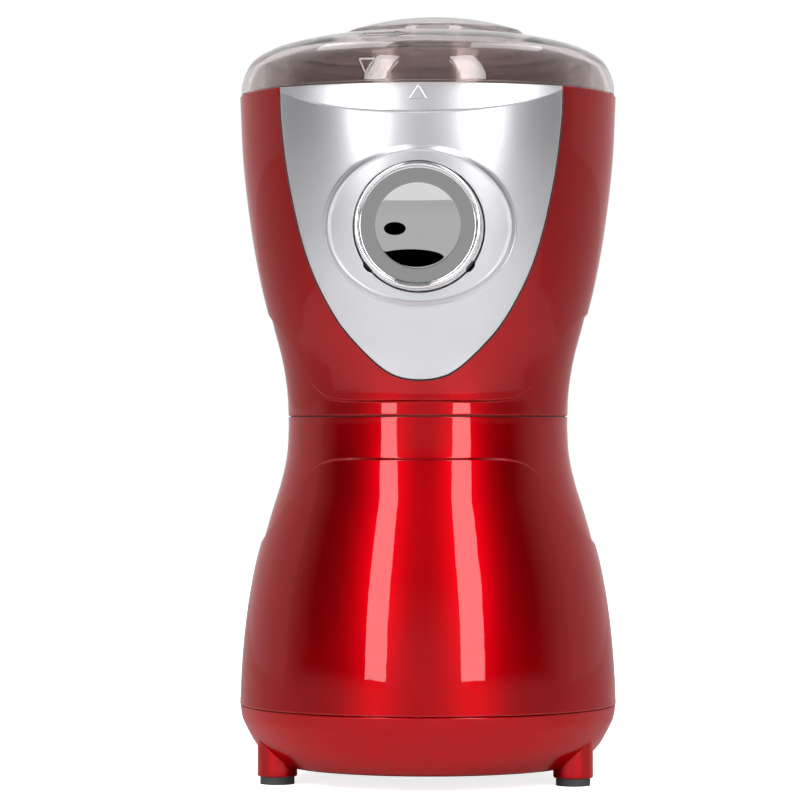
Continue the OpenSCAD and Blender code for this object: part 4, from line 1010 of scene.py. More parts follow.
@dataclass
class BaseCover:
    """Base with its curved side, foot posts, screw wells and cooling slots."""

    foot_z: float = 4.1
    wall: float = 2.2
    columns: int = 200
    rings: tuple[float, ...] = (34.0, 27.0, 22.0, 16.0, 8.0, ON_AXIS)
    floor_r: float = 36.0
    inside: tuple[Pair, ...] = ((42.0, 9.0), (45.0, 13.0))
    inside_r: float = 46.4
    post_r: float = 5.15
    post_ring_r: float = 41.2
    post_foot_z: float = 2.0
    post_straight_z: float = 3.5
    post_top_z: float = 12.6
    post_round: float = 0.4
    post_columns: int = 64
    foot_angle: float = 68.5
    well_angles: tuple[int, ...] = (30, 150, 270)
    well_ring_r: float = 33.0
    well_r: float = 3.4
    well_top_z: float = 15.9
    screw_r: float = 1.5
    boss_r: float = 5.0
    well_columns: int = 32
    vents: int = 14
    vent_w: float = 2.2
    vent_in_r: float = 10.0
    vent_len: float = 11.0
    edge: tuple[Pair, ...] = (
        (0.1, 1), (0.6, 0.8), (1.3, 0.69), (3.9, 0.385), (6.4, 0.2), (9.5, 0.04), (11.6, 0))

    def build(self) -> None:
        """Makes the cover and puts it in the place of its node."""
        top = BODY.base_seam_z - BODY.seam_gap
        side = smooth_curve([(BODY.wide_r - inset, self.foot_z + share * (BODY.base_seam_z - self.foot_z))
                             for inset, share in self.edge], 8)
        outer = [(BODY.wide_r - CLEAR - deep, top - along) for along, deep in reversed(quarter(BODY.edge_r))]
        outer += [p for p in side if p[1] < top - BODY.edge_r - CLEAR]
        outer += [(r, self.foot_z) for r in self.rings]
        floor = self.foot_z + self.wall
        inner = [(ON_AXIS, floor), (self.floor_r, floor), *self.inside]
        inner += [(self.inside_r, top - 1), (self.inside_r, top)]
        sheet = Quilt()
        sheet.spin(outer + inner, self.columns, closed=True)
        piece = sheet.sew("base_shell")
        carve(piece, self._cutter())
        self._join_posts(piece)
        # The base takes the lighter copy of the red, which is painted light.
        LIT_BASE_RED.dress(piece)
        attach(piece, "root")
        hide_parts("base_cover")

    def _wells(self) -> list[Pair]:
        """Lists the screw wells' centres."""
        return [from_right(self.well_ring_r, math.radians(angle), 0.0)[:2] for angle in self.well_angles]

    def _cutter(self) -> bpy.types.Object:
        """Makes the cutter for the base's floor.

        Returns:
            The prisms of the cooling slots and the screw wells.
        """
        sheet = Quilt()
        half = self.vent_w / 2
        for a in full_turn(self.vents):
            ring = []
            for centre, first in ((self.vent_in_r + self.vent_len - half, -90), (self.vent_in_r + half, 90)):
                for b in spread(math.radians(first), math.radians(first + 180), 8):
                    x, y = centre + half * math.cos(b), half * math.sin(b)
                    ring.append((x * math.cos(a) - y * math.sin(a), x * math.sin(a) + y * math.cos(a)))
            self._prism(sheet, ring, from_right(self.vent_in_r + self.vent_len / 2, a, 0.0)[:2])
        turns = full_turn(self.well_columns)
        for x, y in self._wells():
            ring = [(x + self.well_r * math.cos(b), y + self.well_r * math.sin(b)) for b in turns]
            self._prism(sheet, ring, (x, y))
        return sheet.sew("vent_cutter")

    def _prism(self, sheet: Quilt, ring: list[Pair], middle: Pair) -> None:
        """Adds an upright prism that passes through the base's floor.

        Args:
            sheet: The quilt that takes it.
            ring: The prism's closed outline.
            middle: A point inside the outline.
        """
        low, high = self.foot_z - 1, self.foot_z + self.wall + 1
        caps = [[(*middle, z)] * len(ring) for z in (low, high)]
        walls = [[(x, y, z) for x, y in ring] for z in (low, high)]
        sheet.grid([caps[0], *walls, caps[1]], closed=True)

    def _join_posts(self, piece: bpy.types.Object) -> None:
        """Adds the foot posts and the screw wells' walls.

        Args:
            piece: The cover, whose mesh takes them.
        """
        sheet = Quilt()
        post = [(ON_AXIS, self.post_foot_z)]
        post += [(self.post_r - deep, self.post_foot_z + along)
                 for along, deep in reversed(quarter(self.post_round))]
        post += [(self.post_r, z) for z in spread(self.post_straight_z, self.post_top_z, 4)]
        post.append((ON_AXIS, self.post_top_z))
        for angle in (-90 - self.foot_angle, -90 + self.foot_angle, 90):
            sheet.spin(post, self.post_columns, from_right(self.post_ring_r, math.radians(angle), 0.0)[:2])
        well = [(self.well_r, self.foot_z + 0.2), (self.well_r, self.well_top_z)]
        well += [(self.screw_r, self.well_top_z), (self.screw_r, BODY.base_seam_z)]
        well += [(self.boss_r, BODY.base_seam_z), (self.boss_r, self.foot_z + 1)]
        for centre in self._wells():
            sheet.spin(well, self.well_columns, centre)
        extra = sheet.sew("posts")
        work = bmesh.new()
        work.from_mesh(piece.data)
        work.from_mesh(extra.data)
        work.to_mesh(piece.data)
        work.free()
        bpy.data.objects.remove(extra)
        piece.data.polygons.foreach_set("use_smooth", [True] * len(piece.data.polygons))
        piece.data.set_sharp_from_angle(angle=math.radians(SHARP))


# ---- panel and button


@dataclass(frozen=True)
class ButtonForm:
    """Button's sizes, which the panel's hole follows."""

    centre_z: float = 143.0
    rim_r: float = 15.4
    bead_r: float = 0.55
    face: float = 50.2
    draft: float = math.radians(5)
    back: float = 42.0
    gap: float = 0.18
    dish_r: float = 10.7
    dish_depth: float = 0.9
    ring_drop: float = 1.45
    slot_front: float = 46.3
    slot_w: float = 2.6
    slot_angles: Pair = (-38.0, -142.0)

    def skirt(self, h: float) -> float:
        """Gives the skirt's radius at a distance from the body's axis."""
        return self.rim_r + self.bead_r + (self.face - self.bead_r - h) * math.tan(self.draft)


BUTTON = ButtonForm()


@dataclass
class FrontPanel:
    """Silver panel with its raised oval, button hole, crease and triangle mark."""

    crease_points: int = 60
    side_points: int = 60
    crease_round: float = -0.14
    edge_r: float = 0.3
    hole_edge_r: float = 0.18
    hole_depths: tuple[float, ...] = (3.0, 1.8, 0.9)
    hole_guess: float = 43.0
    flatness: float = 1.17
    scoop_flatness: float = 1.34
    notch: float = 0.5
    mark_half: float = 2.25
    mark_high: float = 3.6
    mark_foot_z: float = 174.8
    mark_w: float = 0.22
    mark_rise: float = 0.12
    sharp: float = 32.0
    face_rows: int = 26
    scoop_rows: int = 14

    def build(self) -> None:
        """Makes the panel and its mark."""
        mark = Quilt()
        engrave(mark, [(-self.mark_half, 0.0), (0.0, self.mark_high), (self.mark_half, 0.0)], self._on_scoop,
                self.mark_w, self.mark_rise)
        for name, sheet, flatness in (("panel_face", self._below_crease(), self.flatness),
                                      ("panel_mark", mark, 0.0),
                                      ("panel_scoop", self._above_crease(), self.scoop_flatness)):
            piece = sheet.sew(name, self.sharp)
            if flatness:
                self._flatten(piece.data, flatness)
            SILVER.dress(piece)
            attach(piece, "root")
            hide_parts("front_panel")

    def _flatten(self, mesh: bpy.types.Mesh, flatness: float) -> None:
        """Turns a face's shading a little to the front, as its pressed sheet is flatter than the body.

        Args:
            mesh: The face's mesh.
            flatness: How many times wider than the body's the sheet's curve is.
        """
        normals = []
        for loop, corner in zip(mesh.loops, mesh.corner_normals):
            spot = mesh.vertices[loop.vertex_index].co / MM
            share = max(min(spot.x / BODY.radius(spot.z), 1.0), -1.0)
            turn = math.asin(share / flatness) - math.asin(share)
            x, y, z = corner.vector
            c, s = math.cos(turn), math.sin(turn)
            normals.append((x * c - y * s, x * s + y * c, z))
        mesh.normals_split_custom_set(normals)

    def _on_scoop(self, x: float, y: float) -> Point:
        """Places a point of the mark's drawing on the scoop."""
        z = self.mark_foot_z + y
        return (x, PANEL.scoop_y(x, z) - self.mark_rise / 2, z)

    def _corner(self) -> float:
        """Finds the half width where the crease meets the panel's side."""
        side = [(z, x) for x, z in PANEL.outline(0.0)]
        return solve(lambda x: x - look_up(PANEL.crease_z(x), side), 20.0, 36.5)

    def _boundary(self) -> list[tuple[float, float, bool]]:
        """Walks round the face.

        Returns:
            Points of its edge, each with whether it is on the crease.
        """
        corner = self._corner()
        crease = [(x, PANEL.crease_z(x)) for x in spread(-corner, corner, self.crease_points)]
        side = [p for p in PANEL.outline(0.0) if p[1] < crease[-1][1] - 0.2] + [crease[-1]]
        right = list(reversed(even_points(side, self.side_points)))
        left = [(-x, z) for x, z in reversed(right)]
        return [(*p, True) for p in crease] + [(*p, False) for p in right[1:] + left[1:-1]]

    def _below_crease(self) -> Quilt:
        """Lays the face.

        Returns:
            Rings from the button's hole out to the panel's edge.
        """
        walk = self._boundary()
        columns = []
        for k, (x, z, creased) in enumerate(walk):
            column = self._inner_column(x, z, creased)
            if creased:
                column += [(x, PANEL.body_y(x, z) + self.crease_round, z)] * 6
            else:
                (x0, z0, _), (x1, z1, _) = walk[k - 1], walk[(k + 1) % len(walk)]
                size = math.hypot(x1 - x0, z1 - z0)
                for along, deep in quarter(self.edge_r):
                    px, pz = x + (z1 - z0) / size * along, z - (x1 - x0) / size * along
                    column.append((px, PANEL.body_y(px, pz) + deep, pz))
                column += [(x, PANEL.body_y(x, z) + PANEL.thick, z)] * 2
            columns.append(column)
        sheet = Quilt()
        sheet.columns(columns, closed=True)
        return sheet

    def _inner_column(self, bx: float, bz: float, creased: bool) -> list[Point]:
        """Lays the points from the button's hole out to just inside the panel's edge.

        Args:
            bx: Where the column meets the edge, across.
            bz: Where it meets the edge, in height.
            creased: Whether the edge is the crease there.

        Returns:
            The points.
        """
        angle = math.atan2(bz - BUTTON.centre_z, bx)
        c, s = math.cos(angle), math.sin(angle)

        def spot(reach: float, raised: float, deep: float = 0.0) -> Point:
            """Places a point on the face at a distance from the button's centre."""
            x, z = reach * c, BUTTON.centre_z + reach * s
            return (x, PANEL.body_y(x, z, -PANEL.oval_rise * raised) + deep, z)

        hole = BUTTON.skirt(self.hole_guess) + BUTTON.gap
        for _ in range(4):
            hole = BUTTON.skirt(-spot(hole, 1.0)[1]) + BUTTON.gap
        off_slot = min(abs(math.degrees(angle) - a) for a in BUTTON.slot_angles)
        if off_slot * hole < math.degrees(BUTTON.slot_w / 2):
            hole += self.notch
        column = []
        for deep in self.hole_depths:
            x, _, z = spot(hole + deep * math.tan(BUTTON.draft), 1.0)
            column.append((x, spot(hole, 1.0)[1] + deep, z))
        column += [spot(hole + along, 1.0, deep) for along, deep in reversed(quarter(self.hole_edge_r))]
        oval = PANEL.oval(angle)
        inner, outer = oval - PANEL.oval_slope, oval + PANEL.oval_slope
        column += [spot(r, 1.0) for r in spread(hole + 0.5, inner - PANEL.bead_half, 6)]
        for t in spread(-1, 1, 8):
            bead = PANEL.bead_rise if abs(t) == 1 else 0.0
            column.append(spot(oval + t * PANEL.oval_slope, 1 - ease((t + 1) / 2) + bead))
        edge = math.hypot(bx, bz - BUTTON.centre_z)
        column += [spot(r, 0.0) for r in spread(outer + PANEL.bead_half, edge - 0.5, self.face_rows)]
        return column + [spot(edge - 0.25, 0.0)] if creased else column

    def _above_crease(self) -> Quilt:
        """Lays the scoop.

        Returns:
            The leaning strip between the crease and the lid.
        """
        corner = self._corner()
        top = BODY.lid_seam_z
        columns = []
        for x in spread(-corner, corner, self.crease_points):
            low = PANEL.crease_z(x)
            column = [(x, PANEL.body_y(x, low) + self.crease_round, low)]
            heights = spread(min(low + 0.25, top - 0.4), top - self.edge_r - 0.01, self.scoop_rows)
            column += [(x, PANEL.scoop_y(x, z), z) for z in heights]
            column += [(x, PANEL.scoop_y(x, top) + deep, top - along) for along, deep in quarter(self.edge_r)]
            columns.append(column + [(x, PANEL.scoop_y(x, top) + PANEL.thick, top)])
        sheet = Quilt()
        sheet.columns(columns)
        return sheet


@dataclass
class StartButton:
    """Chrome push button: beaded rim, sunk ring, dished middle and two slots in the skirt."""

    columns: int = 360
    wall: float = 1.3
    inner_top: float = 46.8
    skirt_top: float = 47.0
    foot_round: float = 0.4
    sharp: float = 50.0
    bead_rows: int = 14
    dish_rows: int = 28

    def build(self) -> None:
        """Makes the button cap and puts it in the place of its node."""
        sheet = Quilt()
        profile = self._profile()
        slots = set()
        for angle in BUTTON.slot_angles:
            half = math.degrees(BUTTON.slot_w / 2 / BUTTON.skirt(BUTTON.slot_front))
            slots |= {k for k in range(self.columns)
                      if abs((360 * (k + 0.5) / self.columns - 360) - angle) < half}
        turns = [from_right(1.0, a, 0.0) for a in full_turn(self.columns)]
        rows = [[(r * c, -h, BUTTON.centre_z + r * s) for c, s, _ in turns] for r, h in profile]
        sheet.grid(rows, closed=True)
        cut = [h < BUTTON.slot_front + 0.01 for _, h in profile]
        kept = []
        for index, face in enumerate(sheet.faces):
            row, column = divmod(index, self.columns)
            if not (column in slots and cut[row] and cut[row + 1]):
                kept.append(face)
        sheet.faces = kept
        piece = sheet.sew("button_cap", self.sharp)
        CHROME.dress(piece)
        piece.data.materials.append(SATIN_CHROME.material())
        floor = -(BUTTON.face - BUTTON.ring_drop)
        for polygon in piece.data.polygons:
            x, y, z = polygon.center / MM
            level = abs(y - floor) < CLEAR and math.hypot(x, z - BUTTON.centre_z) > BUTTON.dish_r
            polygon.material_index = 1 if level else 0
        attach(piece, "button")
        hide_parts("start_button")

    def _profile(self) -> list[Pair]:
        """Draws the section.

        Returns:
            Pairs of radius and distance from the body's axis.
        """
        face, bead = BUTTON.face, BUTTON.bead_r
        inner = [(BUTTON.skirt(h) - self.wall, h) for h in spread(self.inner_top, BUTTON.back, 3)]
        heights = spread(BUTTON.back, BUTTON.slot_front, 4) + spread(self.skirt_top, face - bead, 4)
        skirt = [(BUTTON.skirt(h), h) for h in heights]
        beads = [(BUTTON.rim_r + bead * math.cos(a), face - bead + bead * math.sin(a))
                 for a in spread(0, math.pi * 0.95, self.bead_rows)]
        floor = face - BUTTON.ring_drop
        foot_r = BUTTON.rim_r - bead - 0.15
        cove = [(foot_r + 0.1 - along, floor + deep) for along, deep in reversed(quarter(self.foot_round))]
        ring = [(r, floor) for r in spread(foot_r - 0.5, BUTTON.dish_r + 0.01, 6)]
        dish = [(BUTTON.dish_r * (1 - t), floor - 0.002 - BUTTON.dish_depth * (1 - (1 - t) ** 2))
                for t in spread(0, 1, self.dish_rows)]
        return inner + skirt + beads + cove + ring + dish[:-1] + [(0.001, dish[-1][1])]


@dataclass
class ReturnSprings:
    """Two coil springs behind the button, built at one length; the real ones shorten as it is pushed."""

    mean_r: float = 2.1
    wire_r: float = 0.3
    turns: int = 4
    turn_steps: int = 32
    wire_columns: int = 14
    pin_x: float = 9.0
    travel: float = 2.5
    wind: tuple[Pair, ...] = ((0, 0), (0.25, 0.14), (0.75, 0.86), (1, 1))

    def build(self) -> None:
        """Builds both springs as one piece."""
        low, high = (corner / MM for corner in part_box("button_springs"))
        middle_z = (low.z + high.z) / 2
        rise = high.y - low.y - 2 * self.wire_r
        sheet = Quilt()
        for side in (-1, 1):
            rings = []
            for t in spread(0, 1, self.turns * self.turn_steps):
                turn = 2 * math.pi * self.turns * t
                y = low.y + self.wire_r + rise * look_up(t, self.wind)
                ring = []
                for b in full_turn(self.wire_columns):
                    r = self.mean_r + self.wire_r * math.cos(b)
                    ring.append((side * self.pin_x + r * math.cos(turn), y + self.wire_r * math.sin(b),
                                 middle_z + r * math.sin(turn)))
                rings.append(ring)
            ends = [[tuple(sum((Vector(p) for p in ring), Vector()) / len(ring))] * len(ring)
                    for ring in (rings[0], rings[-1])]
            sheet.grid([ends[0], *rings, ends[1]], closed=True)
        piece = sheet.sew("return_springs")
        SPRING.dress(piece)
        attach(piece, "root")
        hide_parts("button_springs")
        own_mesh(piece)


# ---- lid


@dataclass
class Lid:
    """Smoked lid with its off-centre dome, collar, lugs, key and marks."""

    gap: float = 0.35
    shoulder_h: float = 16.0
    dome_h: float = 21.7
    dome_sphere_r: float = 74.0
    dome_rim_r: float = 23.4
    dome_back: float = 7.0
    dome_side: float = 1.5
    rim_round: float = 1.0
    wall: float = 2.2
    foot_round: float = 0.3
    collar_r: Pair = (41.3, 43.0)
    holder_r: Pair = (35.2, 37.0)
    collar_foot_z: float = 172.4
    holder_foot_z: float = 179.9
    key_foot_z: float = 167.5
    lug_r: float = 44.3
    lug_h: float = 1.8
    lug_half: float = 6.0
    lug_angles: tuple[float, ...] = (90.0, 210.0, 330.0)
    key_angles: Pair = (27.0, 33.0)
    loft_r: float = 33.5
    mark_w: float = 0.4
    mark_rise: float = 0.25
    triangle: tuple[Pair, ...] = ((-2.0, 3.8), (2.0, 3.8), (0.0, 0.0))
    triangle_z: float = 181.2
    triangle_turn: float = -15.5
    arrow_r: float = 38.2
    arrow_turn: float = -22.8
    arrow_len: float = 12.6
    arrow_half: float = 1.8
    arrow_head: float = 3.4
    columns: int = 200
    collar_columns: int = 160
    lug_columns: int = 8
    loft_rows: int = 14
    slit: float = 0.02
    edge: tuple[Pair, ...] = (
        (0.4, 0), (0.5, 2.6), (1.4, 5.8), (3.2, 8.9), (7, 11.5), (12.2, 13.4), (21.4, 15.4), (27.5, 16))

    def build(self) -> None:
        """Makes the lid's shell, collar and marks."""
        shell = Quilt()
        outer, inner = self._surface(0.0), self._surface(self.wall)
        shell.grid(outer + list(reversed(inner)) + outer[:1], closed=True)
        # The marks take the opaque dark grey, which is painted shade along their relief.
        for name, sheet, finish in (("lid_shell", shell, SMOKED), ("lid_collar", self._collar(), SMOKED),
                                    ("lid_marks", self._marks(), SHADED_MARK)):
            piece = sheet.sew(name)
            finish.dress(piece)
            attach(piece, "lid")
            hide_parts("lid")

    def _line(self, inset: float) -> list[Pair]:
        """Draws the wall's profile.

        Args:
            inset: How far it is moved inwards.

        Returns:
            Pairs of radius and height, from the seam to the middle.
        """
        foot = BODY.lid_seam_z + self.gap
        scale = (self.shoulder_h - self.gap) / self.edge[-1][1]
        line = smooth_curve([(BODY.wide_r - r, foot + h * scale) for r, h in self.edge], 10)
        return shift(line, inset) if inset else line

    def _surface(self, inset: float) -> list[list[Point]]:
        """Lays rows of points over the lid, from the seam up to the top of the dome.

        Args:
            inset: How far the surface lies inside the outer one.

        Returns:
            The rows, each one round the lid.
        """
        line = self._line(inset)
        bottom = BODY.lid_seam_z + self.gap
        side = [p for p in line if p[0] > self.loft_r - inset]
        side[0] = (side[0][0], bottom)
        if not inset:
            edge = reversed(quarter(self.foot_round))
            side = [(side[0][0] - deep, bottom + along) for along, deep in edge] + side[1:]
        heights = list(reversed(line))
        turns = [(math.sin(a), -math.cos(a)) for a in full_turn(self.columns)]
        rows = [[(r * s, r * c, z) for s, c in turns] for r, z in side]
        rim, ball = self.dome_rim_r - inset, self.dome_sphere_r - inset
        ball_z = BODY.lid_seam_z + self.dome_h - self.dome_sphere_r
        bend = max(self.rim_round - inset, self.foot_round)
        last = math.acos((rim - 0.7 * bend) / ball)
        bend_z = ball_z + math.sqrt(ball**2 - (rim - bend * (1 - math.cos(last)))**2) - bend * math.sin(last)

        def shoulder(x: float, y: float) -> float:
            """Gives the shoulder's height over a spot."""
            return look_up(math.hypot(x, y), heights)

        def ring(r: float, height: Callable[[float], float]) -> list[Point]:
            """Lays a row round the dome, whose heights come from the shoulder's height beneath it."""
            spots = [(r * s + self.dome_side, r * c + self.dome_back) for s, c in turns]
            return [(x, y, height(shoulder(x, y))) for x, y in spots]

        foot = ring(rim + 0.4, lambda low: low)
        for t in spread(0, 1, self.loft_rows)[1:]:
            row = []
            for (sx, sy, _), (tx, ty, _) in zip(rows[len(side) - 1], foot):
                px, py = sx + (tx - sx) * t, sy + (ty - sy) * t
                row.append((px, py, shoulder(px, py)))
            rows.append(row)
        rows.append(ring(rim + CLEAR, lambda low: low + CLEAR))
        rows += [ring(rim, lambda low: low + (bend_z - low) * t) for t in (0.2, 0.6, 1.0)]
        rows += [ring(rim - bend * (1 - math.cos(a)), lambda low: bend_z + bend * math.sin(a))
                 for a in spread(0, last, 6)[1:]]
        return rows + [ring(r, lambda low: ball_z + math.sqrt(ball**2 - r**2))
                       for r in spread(rim - bend - 0.2, ON_AXIS, 16)]

    def _collar(self) -> Quilt:
        """Lays what enters the body.

        Returns:
            The collar, the sealing ring's holder, the lugs and the key.
        """
        sheet = Quilt()
        heights = list(reversed(self._line(self.wall)))
        for (inner, outer), foot in ((self.collar_r, self.collar_foot_z),
                                     (self.holder_r, self.holder_foot_z)):
            high_in, high_out = (look_up(r, heights) - self.slit for r in (inner, outer))
            section = [(outer, foot), (outer, high_out), (inner, high_in), (inner, foot)]
            sheet.spin(section, self.collar_columns, closed=True)
        foot, outer = self.collar_foot_z, self.collar_r[1]
        for centre in self.lug_angles:
            sheet.block((outer + self.slit, self.lug_r), (foot, foot + self.lug_h),
                        (centre - self.lug_half, centre + self.lug_half), self.lug_columns)
        sheet.block(self.collar_r, (self.key_foot_z, foot - self.slit), self.key_angles, self.lug_columns)
        return sheet

    def _marks(self) -> Quilt:
        """Lays the marks.

        Returns:
            The triangle on the wall and the turning arrow on the shoulder.
        """
        line = self._line(0.0)
        heights = list(reversed(line))
        radii = [(z, r) for r, z in line]

        def on_wall(x: float, y: float) -> Point:
            """Places a point of the triangle's drawing on the lid's wall."""
            z = self.triangle_z + y
            r = look_up(z, radii) + self.mark_rise / 2
            return from_front(r, math.radians(self.triangle_turn) + x / r, z)

        def on_shoulder(x: float, y: float) -> Point:
            """Places a point of the arrow's drawing on the lid's shoulder."""
            r = self.arrow_r - y
            turn = math.radians(self.arrow_turn) + x / self.arrow_r
            return from_front(r, turn, look_up(r, heights) + self.mark_rise / 2)

        half, head, tip = self.arrow_half, self.arrow_head, self.arrow_len
        neck = tip - 1.3 * head
        arrow = [(0, -half), (neck, -half), (neck, -head), (tip, 0), (neck, head), (neck, half), (0, half)]
        sheet = Quilt()
        engrave(sheet, self.triangle, on_wall, self.mark_w, self.mark_rise)
        engrave(sheet, arrow, on_shoulder, self.mark_w, self.mark_rise)
        return sheet


# ---- studio


@dataclass(frozen=True)
class Lamp:
    """Soft lamp that faces the object; its turn is in degrees from the camera's, positive to the right."""

    name: str
    turn: float
    far: float
    high: float
    size: Pair
    power: float
    glossy: bool = False


@dataclass(frozen=True)
class Curtain:
    """Hanging cloth between two turns in degrees, whose glow changes from its hem upwards."""

    name: str
    turns: Pair
    glow: float
    hem: Pair
    hem_glow: float


@dataclass(frozen=True)
class Mat:
    """Glowing part of the table between two turns in degrees and two radii."""

    name: str
    turns: Pair
    radii: Pair
    glow: float
    mirrors_only: bool = False


@dataclass(frozen=True)
class Card:
    """Dark oval card that hangs in front, for the button's mirror alone; turn and pitch are in degrees."""

    name: str
    turn: float
    pitch: float
    size: Pair


@dataclass(frozen=True)
class Ceiling:
    """Glowing card overhead, with its four corners as seen from above."""

    name: str
    corners: tuple[Pair, Pair, Pair, Pair]
    rise: float
    glow: float


@dataclass
class Studio:
    """Floor, backdrop light, lamps and camera."""

    mat_columns: int = 40
    curtain_columns: int = 24
    card_columns: int = 48
    camera_far: float = 979.5
    camera_high: float = 91.5
    camera_turn: float = math.radians(3.0)
    aim_left: float = math.radians(0.43)
    aim_up: float = math.radians(0.477)
    lens: float = 167.5
    view_reach: float = 50.0
    aim_z: float = 0.1
    floor_half: float = 6000.0
    floor_glow: float = 0.8
    floor_tone: float = 0.9
    floor_rough: float = 0.9
    floor_in_gloss: float = 0.63
    room_in_gloss: float = 0.7
    room_on_faces: float = 0.22
    card_far: float = 1000.0
    mirror_glow: float = 0.54
    mirror_half: float = math.radians(30)
    mirror_r: float = 1780.0
    mirror_heights: Pair = (100.0, 1500.0)
    curtain_rows: tuple[Pair, ...] = ((1800.0, 0.0), (1800.0, 1500.0), (700.0, 2200.0))
    side_span: Pair = (-520.0, 120.0)
    side_glow: Pair = (0.0, 0.62)
    ceiling_high: float = 1600.0
    curtains: tuple[Curtain, ...] = (
        Curtain("camera_wall", (-26.0, 24.0), 0.12, (250.0, 700.0), 0.52),
        Curtain("left_curtain", (-97.0, -26.0), 0.03, (40.0, 150.0), 0.5),
        Curtain("right_curtain", (24.0, 97.0), 0.03, (40.0, 150.0), 0.5))
    cards: tuple[Card, ...] = (
        Card("lens_card", 3.2, 4.3, (152.0, 92.0)),
        Card("hood_card", -3.0, 16.6, (500.0, 150.0)))
    ceilings: tuple[Ceiling, ...] = (
        Ceiling("left_ceiling", ((-370, -85), (-990, 510), (-210, 700), (-600, 1340)), 0.0, 4.3),
        Ceiling("ceiling_gap", ((-370, -110), (370, -110), (-370, 1700), (370, 1700)), 10.0, 0.03),
        Ceiling("right_ceiling", ((370, -85), (990, 510), (210, 700), (600, 1340)), 0.0, 4.3))
    mats: tuple[Mat, ...] = (
        Mat("near_table", (-60.0, 60.0), (260.0, 1150.0), 0.88, mirrors_only=True),
        Mat("front_table", (-80.0, 80.0), (740.0, 1795.0), 0.5),
        Mat("side_table", (80.0, 280.0), (450.0, 8700.0), 0.6))
    lamps: tuple[Lamp, ...] = (
        Lamp("left_strip", -31.5, 1100.0, 725.0, (290.0, 1330.0), 11.5, glossy=True),
        Lamp("right_strip", 27.0, 1100.0, 725.0, (320.0, 1330.0), 12.7, glossy=True),
        Lamp("left_pool", -50.0, 650.0, 500.0, (250.0, 250.0), 3.0),
        Lamp("right_pool", 36.0, 650.0, 500.0, (250.0, 250.0), 2.5),
        Lamp("top_fill", 0.0, 500.0, 1500.0, (900.0, 700.0), 10.0))

    def build(self) -> None:
        """Sets up everything that isn't the object."""
        self._view()
        self._floor()
        self._world()
        for lamp in self.lamps:
            self._lamp(lamp)
        self._mirror_wall()
        for curtain in self.curtains:
            self._curtain(curtain)
        for card in self.cards:
            self._card(card)
        for ceiling in self.ceilings:
            spots = [(x, y, self.ceiling_high + ceiling.rise) for x, y in ceiling.corners]
            self._glow(ceiling.name, [spots[:2], spots[2:]], ceiling.glow)
        for mat in self.mats:
            z = 1.0 + mat.mirrors_only
            turns = [self._direction(a) for a in spread(*mat.turns, self.mat_columns)]
            self._glow(mat.name, [[from_right(r, a, z) for a in turns] for r in mat.radii], mat.glow,
                       mat.mirrors_only)
        bpy.context.scene.view_settings.view_transform = "Standard"

    def _direction(self, turn: float) -> float:
        """Gives the angle from the right, in radians, of a turn from the camera's direction in degrees."""
        return -math.pi / 2 + self.camera_turn + math.radians(turn)

    def _view(self) -> None:
        """Places the camera."""
        data = bpy.data.cameras.new("camera")
        data.lens = self.lens
        data.clip_end = self.view_reach
        camera = bpy.data.objects.new("camera", data)
        bpy.context.scene.collection.objects.link(camera)
        bpy.context.scene.camera = camera
        camera.location = Vector(from_front(self.camera_far, self.camera_turn, self.camera_high)) * MM
        heading = math.pi / 2 + self.camera_turn + self.aim_left
        ahead = Vector(from_right(math.cos(self.aim_up), heading, math.sin(self.aim_up)))
        camera.rotation_euler = ahead.to_track_quat("-Z", "Y").to_euler()

    def _lamp(self, lamp: Lamp) -> None:
        """Hangs one lamp, which faces the object's middle with half the tilt.

        Args:
            lamp: The lamp's place, size and power.
        """
        data = bpy.data.lights.new(lamp.name, "AREA")
        data.shape = "RECTANGLE"
        data.size, data.size_y = (side * MM for side in lamp.size)
        data.energy = lamp.power
        holder = bpy.data.objects.new(lamp.name, data)
        bpy.context.scene.collection.objects.link(holder)
        holder.location = Vector(from_right(lamp.far, self._direction(lamp.turn), lamp.high)) * MM
        ahead = Vector((0, 0, self.aim_z)) - holder.location
        ahead.z *= 0.5
        holder.rotation_euler = ahead.to_track_quat("-Z", "Y").to_euler()
        holder.visible_glossy = holder.visible_transmission = lamp.glossy
        holder.visible_camera = False

    def _floor(self) -> None:
        """Lays the pale floor."""
        half = self.floor_half
        sheet = Quilt()
        sheet.grid([[(x, y, 0.0) for x in (-half, half)] for y in (-half, half)])
        floor = sheet.sew("floor")
        material = bpy.data.materials.new("pale_floor")
        nodes = Nodes(material)
        path = nodes.add("ShaderNodeLightPath").outputs
        lift = nodes.join("MULTIPLY", path["Is Camera Ray"], self.floor_glow)
        nodes.feed("Principled BSDF", {
            "Base Color": nodes.ramp(path["Is Glossy Ray"], self.floor_tone, self.floor_in_gloss),
            "Roughness": self.floor_rough, "Emission Color": WHITE, "Emission Strength": lift})
        floor.data.materials.append(material)

    def _world(self) -> None:
        """Lights the room: white to the camera, to gloss and through glass, softer on plain faces."""
        world = bpy.data.worlds.new("room")
        bpy.context.scene.world = world
        nodes = Nodes(world)
        path = nodes.add("ShaderNodeLightPath").outputs
        gloss = nodes.join("MULTIPLY", path["Is Glossy Ray"], self.room_in_gloss)
        seen = nodes.join("MAXIMUM", path["Is Camera Ray"], gloss)
        through = nodes.join("MAXIMUM", seen, path["Is Transmission Ray"])
        nodes.feed("Background", {"Color": WHITE, "Strength": nodes.ramp(through, self.room_on_faces, 1.0)})

